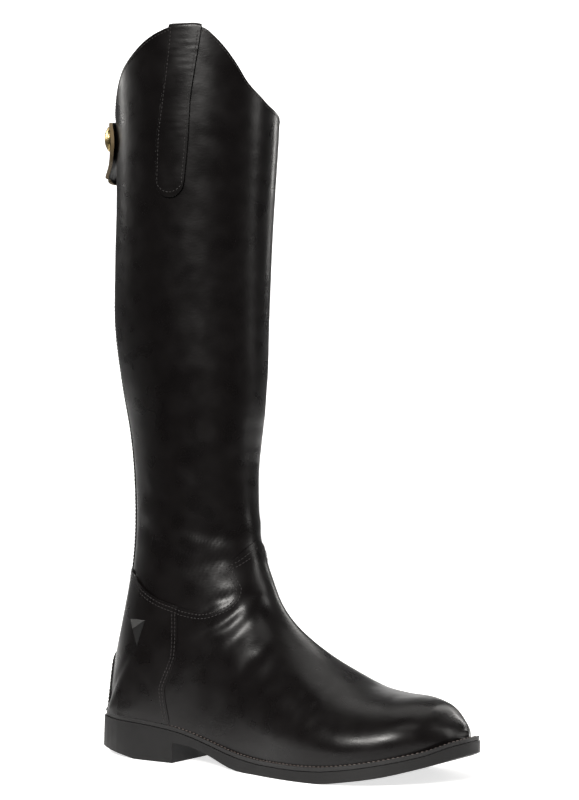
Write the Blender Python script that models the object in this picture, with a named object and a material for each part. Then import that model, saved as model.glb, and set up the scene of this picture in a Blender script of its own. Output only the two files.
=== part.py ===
"""Dress riding boot for the right foot, standing on its heel and forefoot.

Frame: +X points to the toe, +Y to the inner (medial) side, +Z up.
The origin is the centre of the heel's ground face. Lengths are metres.
"""
import math
from collections import namedtuple

import bmesh
import bpy
import numpy as np
from mathutils import Vector

MM = 0.001

# Driving sizes of the last, the sole and the shaft
LAST_LENGTH = 0.2606
BALL_WIDTH = 0.0902
HEEL_HEIGHT = 0.0276
INSTEP_HEIGHT = 0.1656
BACK_HEIGHT = 0.4155
CALF_WIDTH = 0.0940
HEEL_BACK_X = -0.0325
SHAFT_CENTRE_X = 0.0315
COLLAR_HALF_LENGTH = 0.0565
COLLAR_HALF_WIDTH = 0.0470

# Thicknesses and clearances
WALL = 2.4 * MM
GAP = 0.3 * MM
FOOT_STEP = 1.2 * MM
STRAP_LEATHER = 1.2 * MM
PATCH_LEATHER = 1.2 * MM
FACING_LEATHER = 0.9 * MM
WELT_THICKNESS = 2.6 * MM
INSOLE_RISE = 0.8 * MM
INSOLE_INSET = 4.1 * MM
SKIRT = 6.0 * MM
FAR = 0.6
WELD = 2e-6

# Sole unit
HEEL_FLARE = 2.2 * MM
HEEL_BEVEL_RISE = 5.0 * MM
HEEL_BEVEL_RUN = 22.0 * MM
HEEL_BEVEL_TURN = math.radians(34.0)
WELT_SETBACK = 0.5 * MM

# Back zip and elastic, seen from behind
ZIP_CENTRE = 1.0 * MM
ZIP_HALF_WIDTH = 6.5 * MM
ZIP_FOOT_HALF_WIDTH = 4.0 * MM
ZIP_FOOT = 62.0 * MM
ZIP_FULL_WIDTH_FROM = 92.0 * MM
FACING_OUTER = 15.0 * MM
COIL_HALF_WIDTH = 3.2 * MM
TAPE_DEPTH = 1.1 * MM
TAPE_THICKNESS = 0.8 * MM
COIL_DEPTH = 0.0 * MM
COIL_RISE = 1.0 * MM
ELASTIC_INNER = 15.6 * MM
ELASTIC_OUTER = 26.0 * MM
ELASTIC_FOOT = 118.0 * MM
ELASTIC_TOP = 402.0 * MM
ELASTIC_THICKNESS = 1.4 * MM
REAR_DEPTH = 0.016

# Heel patch, closure flap, snap and spur rests
PATCH_HALF_WIDTH = 19.5 * MM
PATCH_TOP = 66.0 * MM
PATCH_CORNER = 8.0 * MM
FLAP_CLEAR = 2.0 * MM
FLAP_LEATHER = 2.4 * MM
TONGUE_LIFT = 9.5 * MM
TONGUE_LIFT_TOP = 394.0 * MM
TONGUE_LIFT_RUN = 17.0 * MM
TONGUE_SPREAD = 16.0 * MM
TONGUE_CENTRE = -1.5 * MM
SNAP_RADIUS = 8.0 * MM
SNAP_DOME = 2.2 * MM
SNAP_RIM = 0.8 * MM
SNAP_SIDE = -25.0 * MM
SNAP_HEIGHT = 402.0 * MM
SPUR_APEX = 4.2 * MM
SPUR_ROOT = 6.0 * MM
STRAP_TUCK = 24.0 * MM

FootSection = namedtuple(
    "FootSection",
    "along lateral medial lateral_wide medial_wide ridge_along ridge_up widest ridge_side")
ShaftSection = namedtuple("ShaftSection", "back_along back_up front_along front_up half_width")

# Along and ridge_along are shares of LAST_LENGTH from the heel's back, ridge_up of INSTEP_HEIGHT,
# widest of the section's own height, and the other columns of BALL_WIDTH. Toe first.
FOOT_SECTIONS = [
    FootSection(1.000, 0.011, 0.089, 0.015, 0.093, 0.998, 0.184, 0.50, 0.044),
    FootSection(0.991, 0.098, 0.155, 0.108, 0.165, 0.988, 0.208, 0.46, 0.050),
    FootSection(0.971, 0.188, 0.225, 0.205, 0.242, 0.967, 0.239, 0.42, 0.055),
    FootSection(0.940, 0.288, 0.310, 0.306, 0.328, 0.937, 0.275, 0.38, 0.067),
    FootSection(0.894, 0.386, 0.394, 0.404, 0.411, 0.889, 0.296, 0.34, 0.072),
    FootSection(0.835, 0.466, 0.452, 0.483, 0.470, 0.823, 0.302, 0.31, 0.078),
    FootSection(0.766, 0.519, 0.479, 0.537, 0.497, 0.750, 0.322, 0.29, 0.078),
    FootSection(0.691, 0.532, 0.468, 0.550, 0.486, 0.675, 0.372, 0.28, 0.067),
    FootSection(0.608, 0.499, 0.408, 0.517, 0.426, 0.607, 0.430, 0.28, 0.055),
    FootSection(0.518, 0.432, 0.322, 0.450, 0.339, 0.551, 0.495, 0.30, 0.039),
    FootSection(0.414, 0.373, 0.290, 0.390, 0.308, 0.507, 0.559, 0.34, 0.028),
    FootSection(0.292, 0.344, 0.308, 0.364, 0.328, 0.474, 0.629, 0.40, 0.017),
    FootSection(0.173, 0.337, 0.333, 0.372, 0.366, 0.450, 0.715, 0.44, 0.006),
    FootSection(0.086, 0.304, 0.302, 0.373, 0.368, 0.432, 0.803, 0.46, 0.000),
    FootSection(0.027, 0.200, 0.200, 0.373, 0.368, 0.422, 0.900, 0.48, 0.000),
    FootSection(0.0065, 0.104, 0.104, 0.373, 0.369, 0.418, 0.955, 0.49, 0.000),
    FootSection(0.000, 0.000, 0.000, 0.373, 0.370, 0.415, 1.000, 0.50, 0.000),
]

# Back_along and front_along are shares of LAST_LENGTH, the heights of BACK_HEIGHT, the
# half width of CALF_WIDTH. From the ankle up.
SHAFT_SECTIONS = [
    ShaftSection(0.014, 0.116, 0.413, 0.448, 0.357),
    ShaftSection(0.038, 0.183, 0.416, 0.481, 0.349),
    ShaftSection(0.064, 0.255, 0.422, 0.513, 0.347),
    ShaftSection(0.080, 0.332, 0.429, 0.546, 0.351),
    ShaftSection(0.081, 0.414, 0.434, 0.585, 0.366),
    ShaftSection(0.070, 0.496, 0.436, 0.628, 0.391),
    ShaftSection(0.043, 0.582, 0.437, 0.679, 0.419),
    ShaftSection(0.022, 0.674, 0.440, 0.741, 0.445),
    ShaftSection(0.024, 0.770, 0.444, 0.813, 0.464),
    ShaftSection(0.031, 0.866, 0.451, 0.890, 0.481),
    ShaftSection(0.031, 0.963, 0.460, 0.972, 0.494),
    ShaftSection(0.025, 1.059, 0.465, 1.059, 0.500),
    ShaftSection(0.017, 1.155, 0.467, 1.155, 0.502),
]

# Feather line, where upper meets welt: along (LAST_LENGTH), up (HEEL_HEIGHT)
FEATHER_LINE = [
    (0.000, 1.000), (0.134, 0.964), (0.249, 0.873), (0.315, 0.761), (0.380, 0.601),
    (0.464, 0.420), (0.553, 0.348), (0.641, 0.348), (0.718, 0.370), (0.798, 0.457),
    (0.863, 0.565), (0.925, 0.696), (0.967, 0.808), (1.002, 0.960), (1.040, 1.080),
]

# Underside in front of the heel breast: along (LAST_LENGTH), up (HEEL_HEIGHT)
HEEL_BREAST_ALONG = 0.261
TREAD_LINE = [
    (0.261, 0.478), (0.307, 0.442), (0.353, 0.341), (0.384, 0.246), (0.414, 0.141),
    (0.445, 0.054), (0.476, 0.009), (0.507, 0.000), (0.718, 0.000), (0.810, 0.101),
    (0.879, 0.217), (0.932, 0.348), (0.967, 0.446), (0.998, 0.554), (1.040, 0.700),
]

# How far the sole stands out past the upper: along (LAST_LENGTH), millimetres
SOLE_EXTENSION = [(0.0, 3.0), (0.30, 3.4), (0.50, 4.4), (0.70, 5.2), (0.90, 5.8), (1.0, 6.6)]

# Topline: turn from the front centre in degrees, positive to the outer side, and
# height (BACK_HEIGHT)
TOPLINE = [
    (-180, 1.000), (-150, 0.992), (-100, 0.989), (-60, 0.990), (-24, 0.996), (0, 1.010),
    (9, 1.023), (19, 1.042), (28, 1.072), (35, 1.093), (42.5, 1.111), (50, 1.124),
    (58, 1.1275), (74, 1.1275), (85, 1.122), (98, 1.111), (116, 1.088), (129, 1.068),
    (139, 1.044), (150, 1.014), (160, 1.003), (180, 1.000),
]

# Seam of the foot leather over the shaft, from the back to the peak over the instep:
# along (LAST_LENGTH), up (INSTEP_HEIGHT)
FOOT_SEAM = [
    (0.020, 0.742), (0.061, 0.740), (0.100, 0.731), (0.134, 0.711), (0.160, 0.682),
    (0.188, 0.656), (0.223, 0.630), (0.269, 0.608), (0.295, 0.596), (0.338, 0.588),
    (0.380, 0.606), (0.404, 0.634), (0.408, 0.664), (0.395, 0.704), (0.380, 0.761),
    (0.403, 0.788), (0.418, 0.821), (0.432, 0.870),
]

# Pull strap edges on the outer side: up (BACK_HEIGHT), rear and front edge (LAST_LENGTH)
STRAP_EDGES = [
    (1.180, 0.290, 0.372), (1.126, 0.288, 0.365), (1.060, 0.277, 0.350), (1.018, 0.267, 0.340),
    (0.955, 0.252, 0.333), (0.896, 0.246, 0.322),
]
STRAP_END_UP = 0.868

# Outline of the closure flap from behind: side and height in millimetres
FLAP_OUTLINE = [
    (38.0, 408.5), (28.0, 411.5), (16.0, 413.8), (3.0, 414.4), (-15.0, 414.0), (-24.0, 413.0),
    (-30.0, 410.0), (-33.5, 404.5), (-34.0, 399.0), (-32.0, 393.5), (-27.5, 389.0), (-21.0, 385.5),
    (-14.0, 381.5), (-8.0, 377.8), (-2.5, 375.4), (3.0, 374.6), (8.5, 376.4), (14.0, 380.0),
    (22.0, 383.2), (29.0, 384.6), (38.0, 384.9),
]

# Spur rest seen from the side: along (LAST_LENGTH), up (BACK_HEIGHT)
SPUR_TRIANGLE = [(0.132, 0.219), (0.184, 0.219), (0.156, 0.178)]

Finish = namedtuple("Finish", "colour roughness metallic")
FINISHES = {
    "polished_black_leather": Finish((0.011, 0.009, 0.009), 0.32, 0.0),
    "tan_insole_leather": Finish((0.69, 0.45, 0.13), 0.6, 0.0),
    "black_welt": Finish((0.012, 0.011, 0.011), 0.5, 0.0),
    "black_sole_rubber": Finish((0.026, 0.023, 0.024), 0.62, 0.0),
    "black_zip_tape": Finish((0.010, 0.010, 0.011), 0.85, 0.0),
    "black_zip_nylon": Finish((0.016, 0.015, 0.016), 0.4, 0.0),
    "black_elastic": Finish((0.018, 0.016, 0.017), 0.8, 0.0),
    "satin_brass": Finish((0.58, 0.45, 0.20), 0.3, 1.0),
}


def clear_scene():
    """Remove whatever the file already holds."""
    for thing in list(bpy.data.objects):
        bpy.data.objects.remove(thing, do_unlink=True)


def material(name):
    """Return one shared material made from its finish."""
    found = bpy.data.materials.get(name)
    if found:
        return found
    finish = FINISHES[name]
    made = bpy.data.materials.new(name)
    made.use_nodes = True
    shader = made.node_tree.nodes["Principled BSDF"]
    shader.inputs["Base Color"].default_value = (*finish.colour, 1.0)
    shader.inputs["Roughness"].default_value = finish.roughness
    shader.inputs["Metallic"].default_value = finish.metallic
    return made


def along_x(share):
    """Turn a share of the last's length into a place on X."""
    return HEEL_BACK_X + share * LAST_LENGTH


def smooth_table(rows, at):
    """Read a table of (key, value) rows along a smooth curve that never overshoots a row."""
    keys = np.array([row[0] for row in rows], float)
    values = np.array([row[1] for row in rows], float)
    steps = np.diff(keys)
    rises = np.diff(values) / steps
    slopes = np.zeros(len(keys))
    slopes[0], slopes[-1] = rises[0], rises[-1]
    for i in range(1, len(keys) - 1):
        if rises[i - 1] * rises[i] > 0:
            slopes[i] = 2 * rises[i - 1] * rises[i] / (rises[i - 1] + rises[i])
    at = np.clip(np.asarray(at, float), keys[0], keys[-1])
    i = np.clip(np.searchsorted(keys, at, side="right") - 1, 0, len(steps) - 1)
    t = (at - keys[i]) / steps[i]
    return ((2 * t**3 - 3 * t**2 + 1) * values[i] + (t**3 - 2 * t**2 + t) * steps[i] * slopes[i]
            + (3 * t**2 - 2 * t**3) * values[i + 1] + (t**3 - t**2) * steps[i] * slopes[i + 1])


BAND_STATIONS = np.linspace(along_x(-0.1), along_x(1.04), 31)


def feather_height(x):
    """Height of the line where the upper meets the welt."""
    share = (np.asarray(x, float) - HEEL_BACK_X) / LAST_LENGTH
    return smooth_table(FEATHER_LINE, share) * HEEL_HEIGHT


def tread_height(x):
    """Height of the sole's underside in front of the heel."""
    share = (np.asarray(x, float) - HEEL_BACK_X) / LAST_LENGTH
    return smooth_table(TREAD_LINE, share) * HEEL_HEIGHT


def topline_height(turn):
    """Height of the collar's edge at a turn from the front, in degrees."""
    return smooth_table(TOPLINE, turn) * BACK_HEIGHT


def section_fan():
    """Columns of every section plane, from the toe round the instep and up the shaft.

    A plane runs from a base point, under the sole or on the back line, to a ridge point.
    """
    fan = []
    for row in FOOT_SECTIONS:
        base_x = along_x(row.along)
        fan.append((
            base_x, float(feather_height(base_x)) - SKIRT,
            -row.lateral * BALL_WIDTH, row.medial * BALL_WIDTH,
            along_x(row.ridge_along), row.ridge_up * INSTEP_HEIGHT,
            -row.lateral_wide * BALL_WIDTH, row.medial_wide * BALL_WIDTH,
            row.widest, row.ridge_side * BALL_WIDTH))
    for row in SHAFT_SECTIONS:
        half = row.half_width * CALF_WIDTH
        fan.append((
            along_x(row.back_along), row.back_up * BACK_HEIGHT, 0.0, 0.0,
            along_x(row.front_along), row.front_up * BACK_HEIGHT, -half, half, 0.5, 0.0))
    return np.array(fan)


FAN = section_fan()
FAN_END = len(FAN) - 1


def fan_columns(at):
    """Blend the section columns smoothly at places along the fan."""
    first = np.clip(np.floor(at).astype(int), 0, FAN_END - 1)
    t = (at - first)[:, None]
    start, end = FAN[first], FAN[first + 1]
    before = np.where((first > 0)[:, None], FAN[np.maximum(first - 1, 0)], 2 * start - end)
    after = np.where((first + 2 <= FAN_END)[:, None], FAN[np.minimum(first + 2, FAN_END)],
                     2 * end - start)
    columns = 0.5 * (2 * start + (end - before) * t
                     + (2 * before - 5 * start + 4 * end - after) * t**2
                     + (3 * start - before - 3 * end + after) * t**3)
    columns[:, 2] = np.minimum(columns[:, 2], 0.0)
    columns[:, 3] = np.maximum(columns[:, 3], 0.0)
    return columns


def last_point(at, around):
    """Points of the last. Around runs 0 to 1 up the outer side and 1 to 2 down the inner side."""
    columns = fan_columns(np.ravel(at)).T.reshape(10, *np.shape(at))
    base_x, base_z, outer, inner, ridge_x, ridge_z, outer_wide, inner_wide, widest, ridge_y = columns
    on_outer = around <= 1.0
    climb = np.where(on_outer, around, 2.0 - around)
    foot_y = np.where(on_outer, outer, inner)
    wide_y = np.where(on_outer, outer_wide, inner_wide)
    low = climb < 0.5
    angle = np.where(low, climb, climb - 0.5) * math.pi
    share = np.where(low, widest * (1 - np.cos(angle)), widest + (1 - widest) * np.sin(angle))
    side = np.where(low, foot_y + (wide_y - foot_y) * np.sin(angle),
                    ridge_y + (wide_y - ridge_y) * np.cos(angle))
    return np.stack([base_x + (ridge_x - base_x) * share, side,
                     base_z + (ridge_z - base_z) * share], axis=-1)


def last_normal(at, around):
    """Outward directions of the last, level along the feather edge."""
    edge = 0.08
    safe = np.clip(around, edge, 2.0 - edge)
    step_at, step_around = 0.02, 0.01
    lower = np.clip(at - step_at, 0, FAN_END)
    upper = np.clip(at + step_at, 0, FAN_END)
    climb = last_point(upper, safe) - last_point(lower, safe)
    turn = last_point(at, safe + step_around) - last_point(at, safe - step_around)
    normal = np.cross(turn, climb)
    normal /= np.linalg.norm(normal, axis=-1, keepdims=True)
    columns = fan_columns(np.ravel(at)).T.reshape(10, *np.shape(at))
    on_foot = columns[3] - columns[2] > 2 * MM
    at_edge = (around < edge / 2) | (around > 2.0 - edge / 2)
    normal[..., 2] = np.where(at_edge & on_foot, 0.0, normal[..., 2])
    normal[..., 1] = np.where(at_edge & ~on_foot, 0.0, normal[..., 1])
    return normal / np.linalg.norm(normal, axis=-1, keepdims=True)


def fan_places(steps, fine_rows=8):
    """Places along the fan for a form: finer on the foot, the ankle and the calf."""
    fine_end = len(FOOT_SECTIONS) + fine_rows
    places = []
    for row in range(FAN_END):
        count = steps if row < fine_end else 1
        places += [row + i / count for i in range(count)]
    return np.array(places + [FAN_END])


FORM_PLACES = fan_places(2)
LINING_PLACES = fan_places(1)
FORM_AROUND = 33
LINING_AROUND = 25


def form_mesh(offset, places=FORM_PLACES, count=FORM_AROUND, drop=0.0):
    """A closed mesh of the last grown by an offset, which may depend on the point."""
    around = np.linspace(0.0, 2.0, count)
    at, turn = np.meshgrid(places, around, indexing="ij")
    points = last_point(at, turn)
    distance = offset(points) if callable(offset) else np.full(at.shape, offset)
    points = points + last_normal(at, turn) * distance[..., None]
    on_foot = fan_columns(places)[:, 3] > 0.1 * MM
    points[on_foot, 0, 2] -= drop
    points[on_foot, -1, 2] -= drop
    mesh = bmesh.new()
    rings = [[mesh.verts.new(Vector(point)) for point in ring] for ring in points]
    for lower, upper in zip(rings, rings[1:]):
        for i in range(count):
            j = (i + 1) % count
            mesh.faces.new((lower[i], lower[j], upper[j], upper[i]))
    mesh.faces.new(rings[0][::-1])
    mesh.faces.new(rings[-1])
    bmesh.ops.remove_doubles(mesh, verts=mesh.verts, dist=WELD)
    return mesh


def face_twist(face):
    """How far a face's corners stand off its own plane."""
    origin = face.calc_center_median()
    return max(abs((vert.co - origin).dot(face.normal)) for vert in face.verts)


def make_object(name, mesh):
    """Turn a closed bmesh into an object of the scene, with any twisted face split."""
    mesh.normal_update()
    twisted = [face for face in mesh.faces if face_twist(face) > WELD]
    bmesh.ops.triangulate(mesh, faces=twisted, quad_method="FIXED")
    bmesh.ops.recalc_face_normals(mesh, faces=mesh.faces)
    data = bpy.data.meshes.new(name)
    mesh.to_mesh(data)
    mesh.free()
    made = bpy.data.objects.new(name, data)
    bpy.context.collection.objects.link(made)
    return made


def form(offset, **options):
    """An object of the last grown by an offset."""
    return make_object("form", form_mesh(offset, **options))


def lining_form(offset, **options):
    """An object of the last's inside, with the plainer mesh of the lining."""
    return form(offset, places=LINING_PLACES, count=LINING_AROUND, **options)


def prism(outline, axis, start, end):
    """Extrude a closed outline along X, Y or Z."""
    place = {"X": lambda a, b: (start, a, b), "Y": lambda a, b: (a, start, b),
             "Z": lambda a, b: (a, b, start)}[axis]
    travel = {"X": (1, 0, 0), "Y": (0, 1, 0), "Z": (0, 0, 1)}[axis]
    mesh = bmesh.new()
    face = mesh.faces.new([mesh.verts.new(place(*point)) for point in outline])
    raised = bmesh.ops.extrude_face_region(mesh, geom=[face])["geom"]
    verts = [item for item in raised if isinstance(item, bmesh.types.BMVert)]
    bmesh.ops.translate(mesh, verts=verts, vec=Vector(travel) * (end - start))
    return make_object("prism", mesh)


def combine(target, tool, operation):
    """Join or carve two solids and drop the tool."""
    tool.hide_render = True
    tool.display_type = "WIRE"
    step = target.modifiers.new("carve", "BOOLEAN")
    step.operation = operation
    step.solver = "EXACT"
    step.object = tool
    seen = target.evaluated_get(bpy.context.evaluated_depsgraph_get())
    mesh = bmesh.new()
    mesh.from_mesh(bpy.data.meshes.new_from_object(seen))
    bmesh.ops.remove_doubles(mesh, verts=mesh.verts, dist=WELD)
    bmesh.ops.dissolve_degenerate(mesh, edges=mesh.edges, dist=WELD)
    target.modifiers.clear()
    mesh.to_mesh(target.data)
    mesh.free()
    bpy.data.objects.remove(tool, do_unlink=True)
    return target


def subtract(target, tool):
    return combine(target, tool, "DIFFERENCE")


def keep_inside(target, tool):
    return combine(target, tool, "INTERSECT")


def finish(target, name, finish_name, bend=35.0):
    """Clean a solid's mesh, name it and give it its material."""
    mesh = bmesh.new()
    mesh.from_mesh(target.data)
    bmesh.ops.triangulate(mesh, faces=mesh.faces)
    mesh.to_mesh(target.data)
    mesh.free()
    target.name = name
    target.data.name = name
    target.data.materials.clear()
    target.data.materials.append(material(finish_name))
    target.data.shade_smooth()
    target.data.set_sharp_from_angle(angle=math.radians(bend))
    return target


def corner_arc(centre, radius, start, end, steps=5):
    """Points of an arc, for a rounded corner."""
    turns = [math.radians(start + (end - start) * i / steps) for i in range(steps + 1)]
    return [(centre[0] + radius * math.cos(t), centre[1] + radius * math.sin(t)) for t in turns]


def side_band(top, bottom):
    """A solid across the boot between two height curves of X."""
    outline = [(x, float(top(x))) for x in BAND_STATIONS]
    outline += [(x, float(bottom(x))) for x in BAND_STATIONS[::-1]]
    return prism(outline, "Y", -FAR / 4, FAR / 4)


def under_feather(rise=0.0):
    """Everything lower than the feather line, for what must end on the welt."""
    return side_band(lambda x: feather_height(x) + rise, lambda x: -0.05)


def above_topline(rise):
    """Everything over the collar's edge, with the edge cut square to the leather."""
    turns = np.arange(-177.5, 180, 5.0)
    rings = []
    mesh = bmesh.new()
    for share, level in ((0.86, None), (1.2, None), (1.2, FAR)):
        ring = []
        for turn in turns:
            height = float(topline_height(turn)) + rise if level is None else level
            angle = math.radians(turn)
            radius = share / math.hypot(math.cos(angle) / COLLAR_HALF_LENGTH,
                                        math.sin(angle) / COLLAR_HALF_WIDTH)
            ring.append(mesh.verts.new((SHAFT_CENTRE_X + radius * math.cos(angle),
                                        -radius * math.sin(angle), height)))
        rings.append(ring)
    hub = mesh.verts.new((SHAFT_CENTRE_X, 0.0, BACK_HEIGHT + 2 * rise))
    count = len(turns)
    for i in range(count):
        j = (i + 1) % count
        mesh.faces.new((hub, rings[0][i], rings[0][j]))
        mesh.faces.new((rings[0][i], rings[1][i], rings[1][j], rings[0][j]))
        mesh.faces.new((rings[1][i], rings[2][i], rings[2][j], rings[1][j]))
    mesh.faces.new(rings[2])
    return make_object("topline", mesh)


def feather_outline(samples=3):
    """The closed line of the upper's foot in plan, toe first and down the outer side."""
    last_foot = len(FOOT_SECTIONS) - 1
    at = np.linspace(0, last_foot, last_foot * samples + 1)
    columns = fan_columns(at)
    outer = [(row[0], row[2]) for row in columns]
    inner = [(row[0], row[3]) for row in columns[:-1]]
    return outer + inner[::-1]


def grown(outline, distance):
    """Move a plan outline outward by a distance that may depend on X."""
    points = np.array(outline)
    before, after = np.roll(points, 1, axis=0), np.roll(points, -1, axis=0)
    tangent = after - before
    normal = np.stack([tangent[:, 1], -tangent[:, 0]], axis=1)
    normal /= np.linalg.norm(normal, axis=1, keepdims=True)
    centre = points.mean(axis=0)
    if ((points - centre) * normal).sum() < 0:
        normal = -normal
    return points + normal * distance(points[:, 0])[:, None]


def sole_extension(x):
    share = (np.asarray(x) - HEEL_BACK_X) / LAST_LENGTH
    return smooth_table(SOLE_EXTENSION, share) * MM


def sole_block(setback=0.0, flare=0.0):
    """A tall block with the sole's plan outline, its heel's back leaning out downwards."""
    edge = feather_outline()
    rear = HEEL_BACK_X + 0.12 * LAST_LENGTH
    top_level, bottom_level = 45 * MM, -5 * MM
    lean = (top_level - bottom_level) / HEEL_HEIGHT

    def at_top(x):
        return sole_extension(x) - setback

    def at_bottom(x):
        share = np.clip((rear - x) / (rear - HEEL_BACK_X), 0, 1)
        return sole_extension(x) - setback + flare * lean * share * 0.5

    mesh = bmesh.new()
    rings = []
    for level, distance in ((bottom_level, at_bottom), (top_level, at_top)):
        rings.append([mesh.verts.new((x, y, level)) for x, y in grown(edge, distance)])
    count = len(rings[0])
    for i in range(count):
        j = (i + 1) % count
        mesh.faces.new((rings[0][i], rings[0][j], rings[1][j], rings[1][i]))
    mesh.faces.new(rings[0])
    mesh.faces.new(rings[1])
    return make_object("sole_block", mesh)


def zip_slot_outline(growth=0.0, foot=ZIP_FOOT, top=FAR):
    """The zip's opening seen from behind, narrowing towards its foot."""
    wide = ZIP_HALF_WIDTH + growth
    narrow = ZIP_FOOT_HALF_WIDTH + growth
    return [(ZIP_CENTRE - narrow, foot), (ZIP_CENTRE + narrow, foot),
            (ZIP_CENTRE + wide, ZIP_FULL_WIDTH_FROM), (ZIP_CENTRE + wide, top),
            (ZIP_CENTRE - wide, top), (ZIP_CENTRE - wide, ZIP_FULL_WIDTH_FROM)]


def rear_prism(outline):
    """Extrude an outline through the back of the boot only."""
    return prism(outline, "X", -FAR / 4, REAR_DEPTH)


def foot_seam_region():
    """Side view region under the seam of the foot leather."""
    seam = [(along_x(a), up * INSTEP_HEIGHT) for a, up in FOOT_SEAM]
    front = along_x(1.2)
    rear = along_x(-0.2)
    return [(rear, seam[0][1])] + seam + [(front, seam[-1][1]), (front, -0.05), (rear, -0.05)]


def make_upper():
    """One hollow body: shaft and foot walls, the foot leather a step in the wall."""
    upper = form(0.0)
    foot_leather = form(FOOT_STEP, drop=2 * MM)
    keep_inside(foot_leather, prism(foot_seam_region(), "Y", -FAR / 4, FAR / 4))
    corridor = [(ZIP_CENTRE - FACING_OUTER - GAP, ZIP_FOOT + 2 * MM),
                (ZIP_CENTRE + FACING_OUTER + GAP, ZIP_FOOT + 2 * MM),
                (ZIP_CENTRE + FACING_OUTER + GAP, FAR), (ZIP_CENTRE - FACING_OUTER - GAP, FAR)]
    subtract(foot_leather, rear_prism(corridor))
    combine(upper, foot_leather, "UNION")
    subtract(upper, lining_form(-WALL, drop=4 * MM))
    subtract(upper, under_feather())
    subtract(upper, above_topline(0.0))
    subtract(upper, rear_prism(zip_slot_outline()))
    elastic_slot = [(ELASTIC_INNER, ELASTIC_FOOT), (ELASTIC_OUTER, ELASTIC_FOOT),
                    (ELASTIC_OUTER, ELASTIC_TOP), (ELASTIC_INNER, ELASTIC_TOP)]
    subtract(upper, rear_prism(elastic_slot))
    return finish(upper, "upper", "polished_black_leather")


def layer(inner, outer, region, **options):
    """The part of a skin between two grown forms that a region keeps."""
    skin = form(outer, **options)
    keep_inside(skin, region)
    return subtract(skin, form(inner, drop=4 * MM, **options))


def make_insole():
    edge = feather_outline()
    outline = grown(edge, lambda x: np.full(len(x), -INSOLE_INSET))
    insole = prism([tuple(point) for point in outline], "Z", -5 * MM, 60 * MM)
    keep_inside(insole, side_band(lambda x: feather_height(x) + INSOLE_RISE,
                                  lambda x: feather_height(x) - WELT_THICKNESS - GAP))
    return finish(insole, "insole", "tan_insole_leather", bend=50.0)


def make_welt():
    welt = sole_block(setback=WELT_SETBACK)
    keep_inside(welt, side_band(lambda x: feather_height(x) - GAP,
                                lambda x: feather_height(x) - GAP - WELT_THICKNESS))
    edge = feather_outline()
    hollow = grown(edge, lambda x: np.full(len(x), GAP - INSOLE_INSET))
    subtract(welt, prism([tuple(point) for point in hollow], "Z", -10 * MM, 70 * MM))
    return finish(welt, "welt", "black_welt", bend=50.0)


def make_outsole():
    """Rubber unit sole: heel, breast, waist and a flat forefoot with toe spring."""
    outsole = sole_block(flare=HEEL_FLARE)
    top = [(x, float(feather_height(x)) - 2 * GAP - WELT_THICKNESS) for x in BAND_STATIONS]
    breast = along_x(HEEL_BREAST_ALONG)
    tread = [(x, float(tread_height(x))) for x in np.linspace(breast, along_x(1.04), 31)]
    side_view = top + tread[::-1] + [(breast, 0.0), (along_x(-0.1), 0.0)]
    keep_inside(outsole, prism(side_view, "Y", -FAR / 4, FAR / 4))
    return finish(subtract(outsole, heel_bevel()), "outsole", "black_sole_rubber", bend=40.0)


def heel_bevel():
    """Wedge under the outer rear corner of the heel, where the tread is cut up."""
    direction = Vector((-math.cos(HEEL_BEVEL_TURN), -math.sin(HEEL_BEVEL_TURN), 0.0))
    across = Vector((-direction.y, direction.x, 0.0))
    reach = 37 * MM
    slope = HEEL_BEVEL_RISE / HEEL_BEVEL_RUN
    start = reach - HEEL_BEVEL_RUN
    near, far = start - 10 * MM, reach + 20 * MM
    profile = [(near, (near - start) * slope), (far, (far - start) * slope), (far, -12 * MM),
               (near, -12 * MM)]
    mesh = bmesh.new()
    face = mesh.faces.new([mesh.verts.new(direction * out + across * -0.08 + Vector((0, 0, up)))
                           for out, up in profile])
    raised = bmesh.ops.extrude_face_region(mesh, geom=[face])["geom"]
    verts = [item for item in raised if isinstance(item, bmesh.types.BMVert)]
    bmesh.ops.translate(mesh, verts=verts, vec=across * 0.16)
    return make_object("bevel", mesh)


def make_heel_patch():
    half, corner, top = PATCH_HALF_WIDTH, PATCH_CORNER, PATCH_TOP
    outline = [(ZIP_CENTRE - half, 0.0), (ZIP_CENTRE + half, 0.0)]
    outline += corner_arc((ZIP_CENTRE + half - corner, top - corner), corner, 0, 90)
    outline += corner_arc((ZIP_CENTRE - half + corner, top - corner), corner, 90, 180)
    inner = FOOT_STEP + GAP
    patch = layer(inner, inner + PATCH_LEATHER, rear_prism(outline))
    subtract(patch, under_feather(GAP))
    return finish(patch, "heel_patch", "polished_black_leather")


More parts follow.
